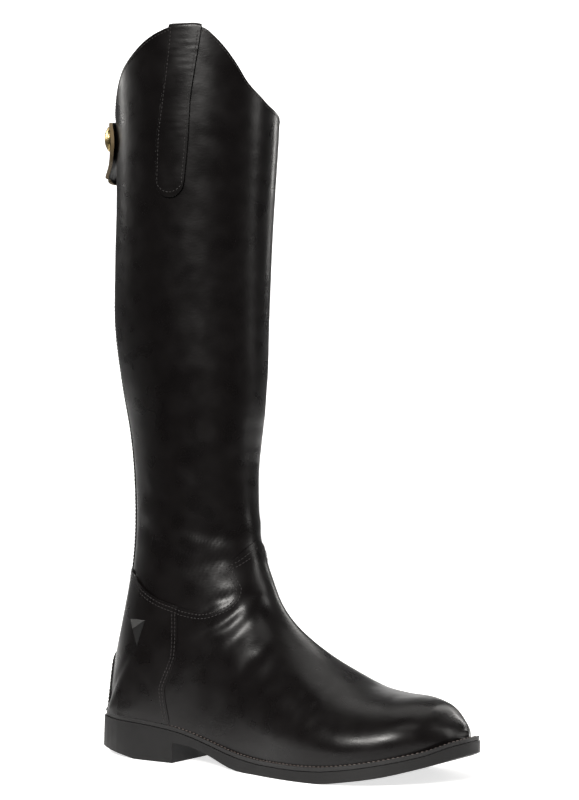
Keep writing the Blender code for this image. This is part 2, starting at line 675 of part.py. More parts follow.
def make_pull_strap():
    """A strap that runs up the outer side, folds over the collar's peak and ends inside."""
    rear = [(along_x(back), up * BACK_HEIGHT) for up, back, _ in STRAP_EDGES]
    front = [(along_x(fore), up * BACK_HEIGHT) for up, _, fore in STRAP_EDGES]
    end_level = STRAP_END_UP * BACK_HEIGHT
    left, right = rear[-1], front[-1]
    middle = (left[0] + right[0]) / 2
    drop = left[1] - end_level
    half = (right[0] - left[0]) / 2
    turns = [math.radians(180 + 180 * i / 10) for i in range(11)]
    round_end = [(middle + half * math.cos(t), left[1] + drop * math.sin(t)) for t in turns]
    outline = rear + round_end[1:-1] + front[::-1]
    strap = form(GAP + STRAP_LEATHER)
    keep_inside(strap, prism(outline, "Y", -FAR / 4, 0.0))
    subtract(strap, above_topline(GAP + STRAP_LEATHER))
    subtract(strap, lining_form(-WALL - GAP - STRAP_LEATHER))
    wall_space = form(GAP)
    subtract(wall_space, lining_form(-WALL - GAP))
    subtract(wall_space, above_topline(GAP))
    subtract(strap, wall_space)
    tuck_end = 1.1275 * BACK_HEIGHT - STRAP_TUCK
    core = form(-WALL / 2)
    keep_inside(core, prism([(-FAR, -FAR), (FAR, -FAR), (FAR, tuck_end), (-FAR, tuck_end)],
                            "Y", -FAR / 4, FAR / 4))
    return finish(subtract(strap, core), "pull_strap", "polished_black_leather")


def make_zip():
    tape = layer(-TAPE_DEPTH - TAPE_THICKNESS, -TAPE_DEPTH,
                 rear_prism(zip_slot_outline(-GAP, foot=ZIP_FOOT + GAP)))
    subtract(tape, above_topline(-2 * MM))
    finish(tape, "zip_tape", "black_zip_tape")
    coil_outline = [(ZIP_CENTRE - COIL_HALF_WIDTH, PATCH_TOP + GAP),
                    (ZIP_CENTRE + COIL_HALF_WIDTH, PATCH_TOP + GAP),
                    (ZIP_CENTRE + COIL_HALF_WIDTH, FAR), (ZIP_CENTRE - COIL_HALF_WIDTH, FAR)]
    coil = layer(-TAPE_DEPTH + GAP, COIL_RISE, rear_prism(coil_outline))
    subtract(coil, above_topline(-2 * MM))
    finish(coil, "zip_coil", "black_zip_nylon")


def make_zip_facings():
    """Two leather strips along the slot, each from the slot's edge outwards."""
    for side, name in ((-1, "zip_facing_lateral"), (1, "zip_facing_medial")):
        edge = ZIP_HALF_WIDTH + GAP
        foot_edge = ZIP_FOOT_HALF_WIDTH + GAP
        foot = ZIP_FOOT + 2 * MM + GAP
        outline = [(ZIP_CENTRE + side * foot_edge, foot),
                   (ZIP_CENTRE + side * edge, ZIP_FULL_WIDTH_FROM),
                   (ZIP_CENTRE + side * edge, FAR), (ZIP_CENTRE + side * FACING_OUTER, FAR),
                   (ZIP_CENTRE + side * FACING_OUTER, foot)]
        facing = layer(GAP, GAP + FACING_LEATHER, rear_prism(outline))
        subtract(facing, above_topline(-0.5 * MM))
        finish(facing, name, "polished_black_leather")


def make_elastic():
    outline = [(ELASTIC_INNER + GAP, ELASTIC_FOOT + GAP), (ELASTIC_OUTER - GAP, ELASTIC_FOOT + GAP),
               (ELASTIC_OUTER - GAP, ELASTIC_TOP - GAP), (ELASTIC_INNER + GAP, ELASTIC_TOP - GAP)]
    panel = layer(-GAP - ELASTIC_THICKNESS, -GAP, rear_prism(outline))
    return finish(panel, "elastic_gusset", "black_elastic")


def tongue_lift(points):
    """How far the flap's tongue stands off the zip."""
    fall = np.clip((TONGUE_LIFT_TOP - points[..., 2]) / TONGUE_LIFT_RUN, 0.0, 1.0)
    rise = fall * fall * (3 - 2 * fall)
    return TONGUE_LIFT * rise * np.exp(-((points[..., 1] - TONGUE_CENTRE) / TONGUE_SPREAD) ** 2)


def flap_places():
    """Fan places with close steps over the flap's height."""
    coarse = [0, 8, len(FOOT_SECTIONS), len(FOOT_SECTIONS) + 6, len(FOOT_SECTIONS) + 8.6]
    fine_start = len(FOOT_SECTIONS) + 9.0
    fine = [fine_start + 0.1 * i for i in range(15)]
    return np.array(coarse + fine + [FAN_END])


def make_closure_flap():
    outline = [(side * MM, height * MM) for side, height in FLAP_OUTLINE]
    options = {"places": flap_places(), "count": 49}
    flap = layer(lambda points: FLAP_CLEAR + tongue_lift(points),
                 lambda points: FLAP_CLEAR + FLAP_LEATHER + tongue_lift(points),
                 rear_prism(outline), **options)
    return finish(flap, "closure_flap", "polished_black_leather")


def seat_on_last(wanted, facing):
    """Point and outward direction of the last nearest a wanted point, seen along a direction."""
    at, turn = np.meshgrid(np.linspace(0.0, FAN_END, 401), np.linspace(0.0, 2.0, 241),
                           indexing="ij")
    points = last_point(at, turn)
    normals = last_normal(at, turn)
    facing = np.array(facing, float)
    apart = points - np.array(wanted)
    along = apart @ facing
    miss = (apart**2).sum(axis=-1) - along**2
    miss[normals @ facing < 0.2] = 1.0
    best = np.unravel_index(miss.argmin(), miss.shape)
    return Vector(points[best]), Vector(normals[best])


def make_snap_cap():
    """A turned dome with a thin rim, seated on the flap."""
    point, normal = seat_on_last((0.0, SNAP_SIDE, SNAP_HEIGHT), (-1, 0, 0))
    rise = SNAP_RIM + SNAP_DOME
    profile = [(0.0, -2 * MM), (SNAP_RADIUS, -2 * MM), (SNAP_RADIUS, SNAP_RIM)]
    profile += [(SNAP_RADIUS * math.cos(math.radians(turn)) * 0.97,
                 SNAP_RIM + SNAP_DOME * math.sin(math.radians(turn))) for turn in (15, 38, 62)]
    mesh = bmesh.new()
    verts = [mesh.verts.new((radius, 0.0, up)) for radius, up in profile]
    verts.append(mesh.verts.new((0.0, 0.0, rise)))
    for first, second in zip(verts, verts[1:]):
        mesh.edges.new((first, second))
    bmesh.ops.spin(mesh, geom=mesh.verts[:] + mesh.edges[:], cent=(0, 0, 0), axis=(0, 0, 1),
                   angle=2 * math.pi, steps=24, use_merge=True)
    bmesh.ops.remove_doubles(mesh, verts=mesh.verts, dist=WELD)
    turn = normal.to_track_quat("Z", "Y").to_matrix().to_4x4()
    bmesh.ops.transform(mesh, matrix=turn, verts=mesh.verts)
    seat = point + normal * (FLAP_CLEAR + FLAP_LEATHER + 2 * GAP)
    bmesh.ops.translate(mesh, verts=mesh.verts, vec=seat)
    cap = make_object("cap", mesh)
    subtract(cap, form(lambda points: FLAP_CLEAR + FLAP_LEATHER + GAP + tongue_lift(points),
                       places=flap_places(), count=49))
    return finish(cap, "snap_cap", "satin_brass")


def make_spur_rests():
    """A faceted stud on each side of the counter, an upside-down triangle from the side."""
    corners = [(along_x(a), up * BACK_HEIGHT) for a, up in SPUR_TRIANGLE]
    middle = [sum(corner[i] for corner in corners) / 3 for i in (0, 1)]
    for side, name in ((-1, "spur_rest_lateral"), (1, "spur_rest_medial")):
        point, normal = seat_on_last((middle[0], 0.0, middle[1]), (0, side, 0))
        seat = point + normal * (FOOT_STEP + GAP)
        mesh = bmesh.new()
        apex = mesh.verts.new(seat + normal * SPUR_APEX)
        rim, root = [], []
        for x, z in corners:
            across = Vector((x - middle[0], 0.0, z - middle[1]))
            across.y = -across.dot(normal) / normal.y
            rim.append(mesh.verts.new(seat + across))
            root.append(mesh.verts.new(seat + across - normal * SPUR_ROOT))
        for i in range(3):
            j = (i + 1) % 3
            mesh.faces.new((apex, rim[i], rim[j]))
            mesh.faces.new((rim[i], root[i], root[j], rim[j]))
        mesh.faces.new(root)
        stud = subtract(make_object("stud", mesh), form(FOOT_STEP + GAP))
        finish(stud, name, "polished_black_leather", bend=10.0)


def main():
    clear_scene()
    make_upper()
    make_insole()
    make_welt()
    make_outsole()
    make_heel_patch()
    make_pull_strap()
    make_zip()
    make_zip_facings()
    make_elastic()
    make_closure_flap()
    make_snap_cap()
    make_spur_rests()


main()
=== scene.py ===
# %% [markdown]
# # A dress riding boot, built over its last
# The boot is a tall leather tube sewn over a foot-shaped last, with a zip up the back.
# The CAD frame already holds the true solids. Here each of them gets the skin that is seen:
# leather panels with seams and creases, a lining, zip teeth, stitches and a soft sole edge.
# Every panel is a grid draped over the same last, so that all the edges agree with the CAD.

# %% Load the frame
import math

import bmesh
import bpy
import numpy as np
from mathutils import Matrix, Vector, kdtree


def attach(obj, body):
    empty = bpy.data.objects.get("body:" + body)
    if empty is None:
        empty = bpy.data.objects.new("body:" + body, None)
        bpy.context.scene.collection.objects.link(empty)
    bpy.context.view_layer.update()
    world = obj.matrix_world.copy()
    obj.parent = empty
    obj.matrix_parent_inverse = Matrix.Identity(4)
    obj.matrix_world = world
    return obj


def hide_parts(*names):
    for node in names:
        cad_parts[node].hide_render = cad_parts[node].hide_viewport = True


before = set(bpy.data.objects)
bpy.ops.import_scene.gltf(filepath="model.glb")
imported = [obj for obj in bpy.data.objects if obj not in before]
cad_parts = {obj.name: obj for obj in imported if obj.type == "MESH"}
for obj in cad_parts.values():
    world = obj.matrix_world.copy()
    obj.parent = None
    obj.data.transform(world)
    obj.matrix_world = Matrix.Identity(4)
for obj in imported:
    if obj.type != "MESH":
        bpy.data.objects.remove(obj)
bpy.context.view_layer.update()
MM = 0.001
print("CAD pieces:", len(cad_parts))

# %% [markdown]
# ## The last
# A last is measured in cross sections. On the foot they stand along the sole, and at the
# ankle they turn like a fan until they lie flat in the shaft. A sculpted mesh would look
# alike but couldn't be checked, so the same tables as in the CAD source are used: shares of
# the last's length, of the ball's width, of the instep's height and of the back's height.

# %% Sizes of the last, in metres
LAST_LENGTH = 0.2606
BALL_WIDTH = 0.0902
HEEL_HEIGHT = 0.0276
INSTEP_HEIGHT = 0.1656
BACK_HEIGHT = 0.4155
CALF_WIDTH = 0.0940
HEEL_BACK_X = -0.0325
SHAFT_CENTRE_X = 0.0315
SKIRT = 6.0 * MM
REAR_DEPTH = 0.016
ZIP_CENTRE = 1.0 * MM

# Foot rows, toe first: along, lateral, medial, lateral_wide, medial_wide, ridge_along,
# ridge_up, widest, ridge_side
FOOT_SECTIONS = [
    (1.000, 0.011, 0.089, 0.015, 0.093, 0.998, 0.184, 0.50, 0.044),
    (0.991, 0.098, 0.155, 0.108, 0.165, 0.988, 0.208, 0.46, 0.050),
    (0.971, 0.188, 0.225, 0.205, 0.242, 0.967, 0.239, 0.42, 0.055),
    (0.940, 0.288, 0.310, 0.306, 0.328, 0.937, 0.275, 0.38, 0.067),
    (0.894, 0.386, 0.394, 0.404, 0.411, 0.889, 0.296, 0.34, 0.072),
    (0.835, 0.466, 0.452, 0.483, 0.470, 0.823, 0.302, 0.31, 0.078),
    (0.766, 0.519, 0.479, 0.537, 0.497, 0.750, 0.322, 0.29, 0.078),
    (0.691, 0.532, 0.468, 0.550, 0.486, 0.675, 0.372, 0.28, 0.067),
    (0.608, 0.499, 0.408, 0.517, 0.426, 0.607, 0.430, 0.28, 0.055),
    (0.518, 0.432, 0.322, 0.450, 0.339, 0.551, 0.495, 0.30, 0.039),
    (0.414, 0.373, 0.290, 0.390, 0.308, 0.507, 0.559, 0.34, 0.028),
    (0.292, 0.344, 0.308, 0.364, 0.328, 0.474, 0.629, 0.40, 0.017),
    (0.173, 0.337, 0.333, 0.372, 0.366, 0.450, 0.715, 0.44, 0.006),
    (0.086, 0.304, 0.302, 0.373, 0.368, 0.432, 0.803, 0.46, 0.000),
    (0.027, 0.200, 0.200, 0.373, 0.368, 0.422, 0.900, 0.48, 0.000),
    (0.0065, 0.104, 0.104, 0.373, 0.369, 0.418, 0.955, 0.49, 0.000),
    (0.000, 0.000, 0.000, 0.373, 0.370, 0.415, 1.000, 0.50, 0.000),
]
# Shaft rows, from the ankle up: back_along, back_up, front_along, front_up, half_width
SHAFT_SECTIONS = [
    (0.014, 0.116, 0.413, 0.448, 0.357), (0.038, 0.183, 0.416, 0.481, 0.349),
    (0.064, 0.255, 0.422, 0.513, 0.347), (0.080, 0.332, 0.429, 0.546, 0.351),
    (0.081, 0.414, 0.434, 0.585, 0.366), (0.070, 0.496, 0.436, 0.628, 0.391),
    (0.043, 0.582, 0.437, 0.679, 0.419), (0.022, 0.674, 0.440, 0.741, 0.445),
    (0.024, 0.770, 0.444, 0.813, 0.464), (0.031, 0.866, 0.451, 0.890, 0.481),
    (0.031, 0.963, 0.460, 0.972, 0.494), (0.025, 1.059, 0.465, 1.059, 0.500),
    (0.017, 1.155, 0.467, 1.155, 0.502),
]
# Where the upper meets the welt: along, up
FEATHER_LINE = [
    (0.000, 1.000), (0.134, 0.964), (0.249, 0.873), (0.315, 0.761), (0.380, 0.601),
    (0.464, 0.420), (0.553, 0.348), (0.641, 0.348), (0.718, 0.370), (0.798, 0.457),
    (0.863, 0.565), (0.925, 0.696), (0.967, 0.808), (1.002, 0.960), (1.040, 1.080),
]
# Collar's edge: degrees from the front, positive to the outer side, and height
TOPLINE = [
    (-180, 1.000), (-150, 0.992), (-100, 0.989), (-60, 0.990), (-24, 0.996), (0, 1.010),
    (9, 1.023), (19, 1.042), (28, 1.072), (35, 1.093), (42.5, 1.111), (50, 1.124),
    (58, 1.1275), (74, 1.1275), (85, 1.122), (98, 1.111), (116, 1.088), (129, 1.068),
    (139, 1.044), (150, 1.014), (160, 1.003), (180, 1.000),
]
# Seam of the foot leather over the shaft, from the back to the front: along, up
FOOT_SEAM = [
    (0.020, 0.742), (0.061, 0.740), (0.100, 0.731), (0.134, 0.711), (0.160, 0.682),
    (0.188, 0.656), (0.223, 0.630), (0.269, 0.608), (0.295, 0.596), (0.338, 0.588),
    (0.380, 0.606), (0.404, 0.634), (0.408, 0.664), (0.395, 0.704), (0.380, 0.761),
    (0.403, 0.788), (0.418, 0.821), (0.432, 0.870),
]
# Seam between vamp and counter: height and X in metres
SIDE_SEAM = [(0.010, 0.0327), (0.0256, 0.0327), (0.0368, 0.0309), (0.0465, 0.0299),
             (0.0565, 0.0338), (0.0693, 0.0394), (0.0787, 0.0400), (0.101, 0.0393)]
# How far the sole stands out: along, millimetres
SOLE_EXTENSION = [(0.0, 3.0), (0.30, 3.4), (0.50, 4.4), (0.70, 5.2), (0.90, 5.8), (1.0, 6.6)]


# %% Read the tables smoothly
def along_x(share):
    return HEEL_BACK_X + share * LAST_LENGTH


def smooth_table(rows, at):
    """A smooth curve through (key, value) rows that never overshoots a row."""
    keys = np.array([row[0] for row in rows], float)
    values = np.array([row[1] for row in rows], float)
    steps = np.diff(keys)
    rises = np.diff(values) / steps
    slopes = np.zeros(len(keys))
    slopes[0], slopes[-1] = rises[0], rises[-1]
    for i in range(1, len(keys) - 1):
        if rises[i - 1] * rises[i] > 0:
            slopes[i] = 2 * rises[i - 1] * rises[i] / (rises[i - 1] + rises[i])
    at = np.clip(np.asarray(at, float), keys[0], keys[-1])
    i = np.clip(np.searchsorted(keys, at, side="right") - 1, 0, len(steps) - 1)
    t = (at - keys[i]) / steps[i]
    return ((2 * t**3 - 3 * t**2 + 1) * values[i] + (t**3 - 2 * t**2 + t) * steps[i] * slopes[i]
            + (3 * t**2 - 2 * t**3) * values[i + 1] + (t**3 - t**2) * steps[i] * slopes[i + 1])


def feather_height(x):
    return smooth_table(FEATHER_LINE, (np.asarray(x) - HEEL_BACK_X) / LAST_LENGTH) * HEEL_HEIGHT


def topline_height(points):
    """Height of the collar's edge over or under each point."""
    turn = np.degrees(np.arctan2(-points[..., 1], points[..., 0] - SHAFT_CENTRE_X))
    return smooth_table(TOPLINE, turn) * BACK_HEIGHT


def section_fan():
    """Rows of base x z, outer and inner y, ridge x z, widest y twice, widest, ridge y."""
    fan = []
    for along, outer, inner, outer_wide, inner_wide, ridge, up, widest, side in FOOT_SECTIONS:
        base_x = along_x(along)
        fan.append((base_x, float(feather_height(base_x)) - SKIRT, -outer * BALL_WIDTH,
                    inner * BALL_WIDTH, along_x(ridge), up * INSTEP_HEIGHT,
                    -outer_wide * BALL_WIDTH, inner_wide * BALL_WIDTH, widest, side * BALL_WIDTH))
    for back, back_up, front, front_up, half in SHAFT_SECTIONS:
        fan.append((along_x(back), back_up * BACK_HEIGHT, 0.0, 0.0, along_x(front),
                    front_up * BACK_HEIGHT, -half * CALF_WIDTH, half * CALF_WIDTH, 0.5, 0.0))
    return np.array(fan)


FAN = section_fan()
FAN_END = len(FAN) - 1
print("sections:", len(FAN))


# %% Points and directions of the last
TOE_ROUND = 2.2 * MM


def fan_columns(at):
    """Blend the section columns smoothly at places along the fan."""
    first = np.clip(np.floor(at).astype(int), 0, FAN_END - 1)
    t = (at - first)[:, None]
    start, end = FAN[first], FAN[first + 1]
    before = np.where((first > 0)[:, None], FAN[np.maximum(first - 1, 0)], 2 * start - end)
    after = np.where((first + 2 <= FAN_END)[:, None], FAN[np.minimum(first + 2, FAN_END)],
                     2 * end - start)
    columns = 0.5 * (2 * start + (end - before) * t
                     + (2 * before - 5 * start + 4 * end - after) * t**2
                     + (3 * start - before - 3 * end + after) * t**3)
    columns[:, 2] = np.minimum(columns[:, 2], 0.0)
    columns[:, 3] = np.maximum(columns[:, 3], 0.0)
    return columns


def unit(vectors):
    """The same directions with a length of one."""
    return vectors / (np.linalg.norm(vectors, axis=-1, keepdims=True) + 1e-12)


def run_length(points):
    """How far along a line each of its points lies."""
    return np.concatenate([[0], np.cumsum(np.linalg.norm(np.diff(points, axis=0), axis=1))])


def last_point(at, around):
    """Points of the last. Around runs 0 to 1 up the outer side and 1 to 2 down the inner side.

    Places from -1 to 0 round the toe's end shut.
    """
    at, around = np.broadcast_arrays(np.asarray(at, float), np.asarray(around, float))
    columns = fan_columns(np.maximum(np.ravel(at), 0.0)).T.reshape(10, *at.shape)
    base_x, base_z, outer, inner, ridge_x, ridge_z = columns[:6]
    outer_wide, inner_wide, widest, ridge_y = columns[6:]
    on_outer = around <= 1.0
    climb = np.where(on_outer, around, 2.0 - around)
    foot_y = np.where(on_outer, outer, inner)
    wide_y = np.where(on_outer, outer_wide, inner_wide)
    low = climb < 0.5
    angle = np.where(low, climb, climb - 0.5) * math.pi
    share = np.where(low, widest * (1 - np.cos(angle)), widest + (1 - widest) * np.sin(angle))
    side = np.where(low, foot_y + (wide_y - foot_y) * np.sin(angle),
                    ridge_y + (wide_y - ridge_y) * np.cos(angle))
    shut = np.clip(-at, 0.0, 1.0) * math.pi / 2
    side = ridge_y + (side - ridge_y) * np.where(shut > 0, np.cos(shut), 1.0)
    x = base_x + (ridge_x - base_x) * share + TOE_ROUND * np.sin(shut)
    return np.stack([x, side, base_z + (ridge_z - base_z) * share], axis=-1)


def last_normal(at, around):
    """Outward directions of the last, level along the feather edge."""
    edge = 0.08
    at, around = np.broadcast_arrays(np.asarray(at, float), np.asarray(around, float))
    safe = np.clip(around, edge, 2.0 - edge)
    at_safe = np.clip(at, -0.92, FAN_END)
    climb = last_point(np.clip(at_safe + 0.02, -1, FAN_END), safe)
    climb = climb - last_point(np.clip(at_safe - 0.02, -1, FAN_END), safe)
    turn = last_point(at_safe, safe + 0.01) - last_point(at_safe, safe - 0.01)
    normal = unit(np.cross(turn, climb))
    columns = fan_columns(np.maximum(np.ravel(at), 0.0)).T.reshape(10, *at.shape)
    on_foot = columns[3] - columns[2] > 2 * MM
    at_edge = (around < edge / 2) | (around > 2.0 - edge / 2)
    normal[..., 2] = np.where(at_edge & on_foot, 0.0, normal[..., 2])
    normal[..., 1] = np.where(at_edge & ~on_foot, 0.0, normal[..., 1])
    return unit(normal)


# %% [markdown]
# ## Creases
# Worn-in leather folds where the foot bends: over the instep, at the ankle and across the
# ball. A texture can't bend the highlights at the outline, so each main fold is a soft
# trough with a raised lip on both sides, placed one by one in the boot's own side view.

# %% Folds in the side view
# Side (-1 outer, 1 inner, 0 both), start x z, end x z, half width, depth, all in millimetres
FOLDS = [
    (0, 36, 152, 62, 143, 4.0, 0.55), (0, 40, 139, 60, 133, 3.2, 0.50),
    (0, 34, 127, 62, 126, 3.6, 0.60), (-1, 46, 118, 64, 121, 2.6, 0.35),
    (0, 60, 150, 78, 141, 4.0, 0.55), (-1, 62, 131, 80, 128, 3.4, 0.50),
    (-1, 58, 84, 80, 100, 3.4, 0.95), (1, 58, 84, 80, 100, 3.4, 0.80),
    (-1, 54, 99, 70, 106, 3.0, 0.45), (-1, 70, 104, 86, 112, 3.4, 0.55),
    (0, 64, 70, 86, 88, 4.4, 0.45), (-1, 58, 60, 78, 68, 4.0, 0.35),
    (-1, 88, 60, 100, 76, 3.6, 0.40), (0, 96, 44, 112, 62, 5.0, 0.40),
    (-1, 112, 30, 122, 52, 3.4, 0.22), (-1, 122, 28, 134, 50, 3.6, 0.28),
    (-1, 134, 30, 146, 50, 3.8, 0.26), (-1, 146, 28, 156, 46, 3.6, 0.20),
    (1, 118, 30, 132, 52, 3.4, 0.50), (1, 134, 30, 148, 50, 3.4, 0.45),
    (0, 40, 190, 60, 186, 6.0, 0.35), (0, 30, 214, 64, 220, 9.0, 0.45),
    (-1, 20, 288, 60, 292, 8.0, 0.22), (0, 10, 172, 30, 166, 6.0, 0.40),
    (0, 6, 150, 24, 140, 5.0, 0.40), (0, 44, 240, 74, 236, 8.0, 0.30),
]
LIP_HEIGHT, LIP_PLACE = 0.45, 1.9
RIPPLE_DEPTH, RIPPLE_FOOT, RIPPLE_FADE = 0.035 * MM, 110.0, 60.0


def folds(points):
    """How far the leather stands off its smooth form, in metres."""
    x, y, z = points[..., 0] / MM, points[..., 1] / MM, points[..., 2] / MM
    total = np.zeros(x.shape)
    for side, x0, z0, x1, z1, half, depth in FOLDS:
        length = math.hypot(x1 - x0, z1 - z0)
        t = ((x - x0) * (x1 - x0) + (z - z0) * (z1 - z0)) / length**2
        bend = 1.2 * np.sin(6.0 * t + x0)
        off = ((x - x0) * (z1 - z0) - (z - z0) * (x1 - x0)) / length + bend
        ends = np.exp(-np.maximum(0.0, np.abs(t - 0.5) * 2 - 0.7) ** 2 / 0.18)
        sides = 1.0 if side == 0 else 1.0 / (1.0 + np.exp(-side * y / 3.0))
        trough = np.exp(-(off / half) ** 2)
        lips = np.exp(-((np.abs(off) - LIP_PLACE * half) / half) ** 2)
        total += ends * sides * depth * (LIP_HEIGHT * lips - trough)
    ripple = np.sin(z / 1.9 + 2.6 * np.sin(x / 11.0)) * np.sin(z / 31.0 + x / 17.0)
    above_ankle = np.clip((z - RIPPLE_FOOT) / RIPPLE_FADE, 0, 1)
    return total * MM + RIPPLE_DEPTH * ripple * above_ankle


def surface(at, around, offset=0.0, creased=1.0):
    """Places on a layer of leather, folds included, and their outward directions."""
    base = last_point(at, around)
    normal = last_normal(at, around)
    return base + normal * (offset + creased * folds(base))[..., None], normal


# %% [markdown]
# ## Finding a place on the last
# Seams, straps and the zip are drawn as they look from one side or from behind, as a maker
# marks them on the last with a pencil. Shooting rays at a mesh would give faceted answers,
# so the nearest sample is looked up first and then corrected on the smooth form itself.

# %% Look up places from a side or from behind
VIEWS = {"outer": ((0, 2), 1, -1), "inner": ((0, 2), 1, 1), "rear": ((1, 2), 0, -1)}
SAMPLE_AT = np.arange(0.0, FAN_END + 1e-6, 0.1)
SAMPLE_AROUND = np.linspace(0.0, 2.0, 161)
sample_at, sample_around = [grid.ravel() for grid in np.meshgrid(SAMPLE_AT, SAMPLE_AROUND)]
sample_points = last_point(sample_at, sample_around)
sample_normals = last_normal(sample_at, sample_around)


def look_up_tree(view):
    axes, across, sign = VIEWS[view]
    seen = np.nonzero(sample_normals[:, across] * sign > 0.08)[0]
    tree = kdtree.KDTree(len(seen))
    for i in seen:
        tree.insert((sample_points[i, axes[0]], sample_points[i, axes[1]], 0.0), int(i))
    tree.balance()
    return tree


TREES = {view: look_up_tree(view) for view in VIEWS}


def place_on(view, a, b):
    """Places (at, around) that are seen at the view's two coordinates."""
    axes = list(VIEWS[view][0])
    shape = np.shape(a)
    wanted = np.stack([np.ravel(a), np.ravel(b)], axis=-1).astype(float)
    nearest = [TREES[view].find((p[0], p[1], 0.0))[1] for p in wanted]
    at, around = sample_at[nearest].copy(), sample_around[nearest].copy()
    for _ in range(4):
        here = last_point(at, around)[:, axes]
        step = 1e-3
        by_at = (last_point(at + step, around)[:, axes] - here) / step
        by_around = (last_point(at, around + step)[:, axes] - here) / step
        miss = wanted - here
        det = by_at[:, 0] * by_around[:, 1] - by_at[:, 1] * by_around[:, 0]
        det = np.where(np.abs(det) < 1e-9, 1e-9, det)
        move_at = (miss[:, 0] * by_around[:, 1] - miss[:, 1] * by_around[:, 0]) / det
        move_around = (by_at[:, 0] * miss[:, 1] - by_at[:, 1] * miss[:, 0]) / det
        at = np.clip(at + np.clip(move_at, -0.3, 0.3), 0.0, FAN_END - 0.01)
        around = np.clip(around + np.clip(move_around, -0.05, 0.05), 0.0, 1.999)
    return at.reshape(shape), around.reshape(shape)


print("look-up samples:", len(sample_at))

# %% [markdown]
# ## Leathers, rubber, cloth and brass
# Polished calf looks deep black, with fine pores and a slight waviness that breaks up the
# highlights. Painted images could show that, but they would need a flat layout and would
# stretch over the folds. So each finish is worked out in the boot's own millimetres.

# %% Material helpers
def linear(colour):
    """An sRGB hex colour as linear light."""
    parts = [int(colour[i:i + 2], 16) / 255 for i in (1, 3, 5)]
    return (*[p / 12.92 if p <= 0.04045 else ((p + 0.055) / 1.055) ** 2.4 for p in parts], 1.0)


def add(tree, kind, inputs=None, **settings):
    """Add one node. An input may be a value or another node's output."""
    made = tree.nodes.new(kind)
    for key, value in settings.items():
        setattr(made, key, value)
    for name, value in (inputs or {}).items():
        if isinstance(value, bpy.types.NodeSocket):
            tree.links.new(value, made.inputs[name])
        else:
            made.inputs[name].default_value = value
    return made


def finish_of(name, dark, light, roughness, spread, grain_mm, depth_mm, wave_mm=9.0,
              wave_depth_mm=0.0, coat=0.0, metallic=0.0, ior=1.5, stretch=(1.0, 1.0, 1.0)):
    """A surface with mottled colour, uneven gloss, fine grain and a slow waviness."""
    made = bpy.data.materials.new(name)
    made.use_nodes = True
    tree = made.node_tree
    shader = tree.nodes["Principled BSDF"]
    where = add(tree, "ShaderNodeTexCoord").outputs["Object"]
    scaled = add(tree, "ShaderNodeMapping", {"Vector": where, "Scale": stretch}).outputs["Vector"]
    mottle = add(tree, "ShaderNodeTexNoise", {"Vector": where, "Scale": 1 / (14 * MM),
                                              "Detail": 1.0, "Roughness": 0.5}).outputs["Fac"]
    grain = add(tree, "ShaderNodeTexNoise", {"Vector": scaled, "Scale": 1 / (grain_mm * MM),
                                             "Detail": 2.0, "Roughness": 0.5}).outputs["Fac"]
    waves = add(tree, "ShaderNodeTexNoise", {"Vector": where, "Scale": 1 / (wave_mm * MM),
                                             "Detail": 2.0}).outputs["Fac"]
    colour = add(tree, "ShaderNodeMix", {"Factor": mottle, "A": linear(dark), "B": linear(light)},
                 data_type="RGBA")
    gloss = add(tree, "ShaderNodeMapRange", {"Value": mottle, "From Min": 0.3, "From Max": 0.7,
                                             "To Min": roughness - spread,
                                             "To Max": roughness + spread})
    slow = add(tree, "ShaderNodeBump", {"Height": waves, "Strength": 1.0,
                                        "Distance": wave_depth_mm * MM})
    fine = add(tree, "ShaderNodeBump", {"Height": grain, "Strength": 1.0,
                                        "Distance": depth_mm * MM,
                                        "Normal": slow.outputs["Normal"]})
    tree.links.new(colour.outputs["Result"], shader.inputs["Base Color"])
    tree.links.new(gloss.outputs["Result"], shader.inputs["Roughness"])
    tree.links.new(fine.outputs["Normal"], shader.inputs["Normal"])
    shader.inputs["Metallic"].default_value = metallic
    shader.inputs["IOR"].default_value = ior
    shader.inputs["Coat Weight"].default_value = coat
    shader.inputs["Coat Roughness"].default_value = 0.18
    return made


# %% Finishes
# Polished black calf, pigmented and waxed
calf = finish_of("polished black calf leather", "#090707", "#100d0d", 0.30, 0.05, 1.7, 0.035,
                 wave_mm=11.0, wave_depth_mm=0.12, ior=1.36, stretch=(0.6, 0.6, 1.5))
# The same calf on the turned strips beside the zip, with less wear
facing_calf = finish_of("smooth black facing leather", "#0c0a0a", "#130f10", 0.25, 0.04, 1.0,
                        0.02, wave_mm=7.0, wave_depth_mm=0.15, ior=1.42)
# Vegetable tanned lining
lining_tan = finish_of("tan lining leather", "#c89c4e", "#dbb366", 0.55, 0.08, 0.7, 0.05)
# Cut edge of the tan and black leather
raw_edge = finish_of("raw tan cut edge", "#5d4e36", "#7d6a4a", 0.7, 0.08, 0.3, 0.08)
# Heel grip of the footbed
insole_tan = finish_of("tan insole leather", "#b98c45", "#cfa45a", 0.6, 0.08, 0.8, 0.05)
# Moulded rubber of the sole and heel
rubber = finish_of("black sole rubber", "#0d0c0c", "#141313", 0.6, 0.08, 0.5, 0.03,
                   wave_mm=5.0, wave_depth_mm=0.05, ior=1.42)
# Leather welt, inked black
welt_leather = finish_of("inked black welt leather", "#0f0e0e", "#171515", 0.5, 0.1, 0.5, 0.06)
# Woven polyester of the zip
tape_cloth = finish_of("black zip tape cloth", "#121213", "#1b1b1c", 0.85, 0.06, 0.25, 0.06)
# Moulded nylon teeth
nylon = finish_of("black zip nylon", "#1a1819", "#242122", 0.38, 0.06, 0.4, 0.01)
# Ribbed elastic webbing
elastic_cloth = finish_of("black elastic webbing", "#191718", "#232021", 0.72, 0.06, 0.35, 0.08,
                          stretch=(1.0, 0.3, 1.0))
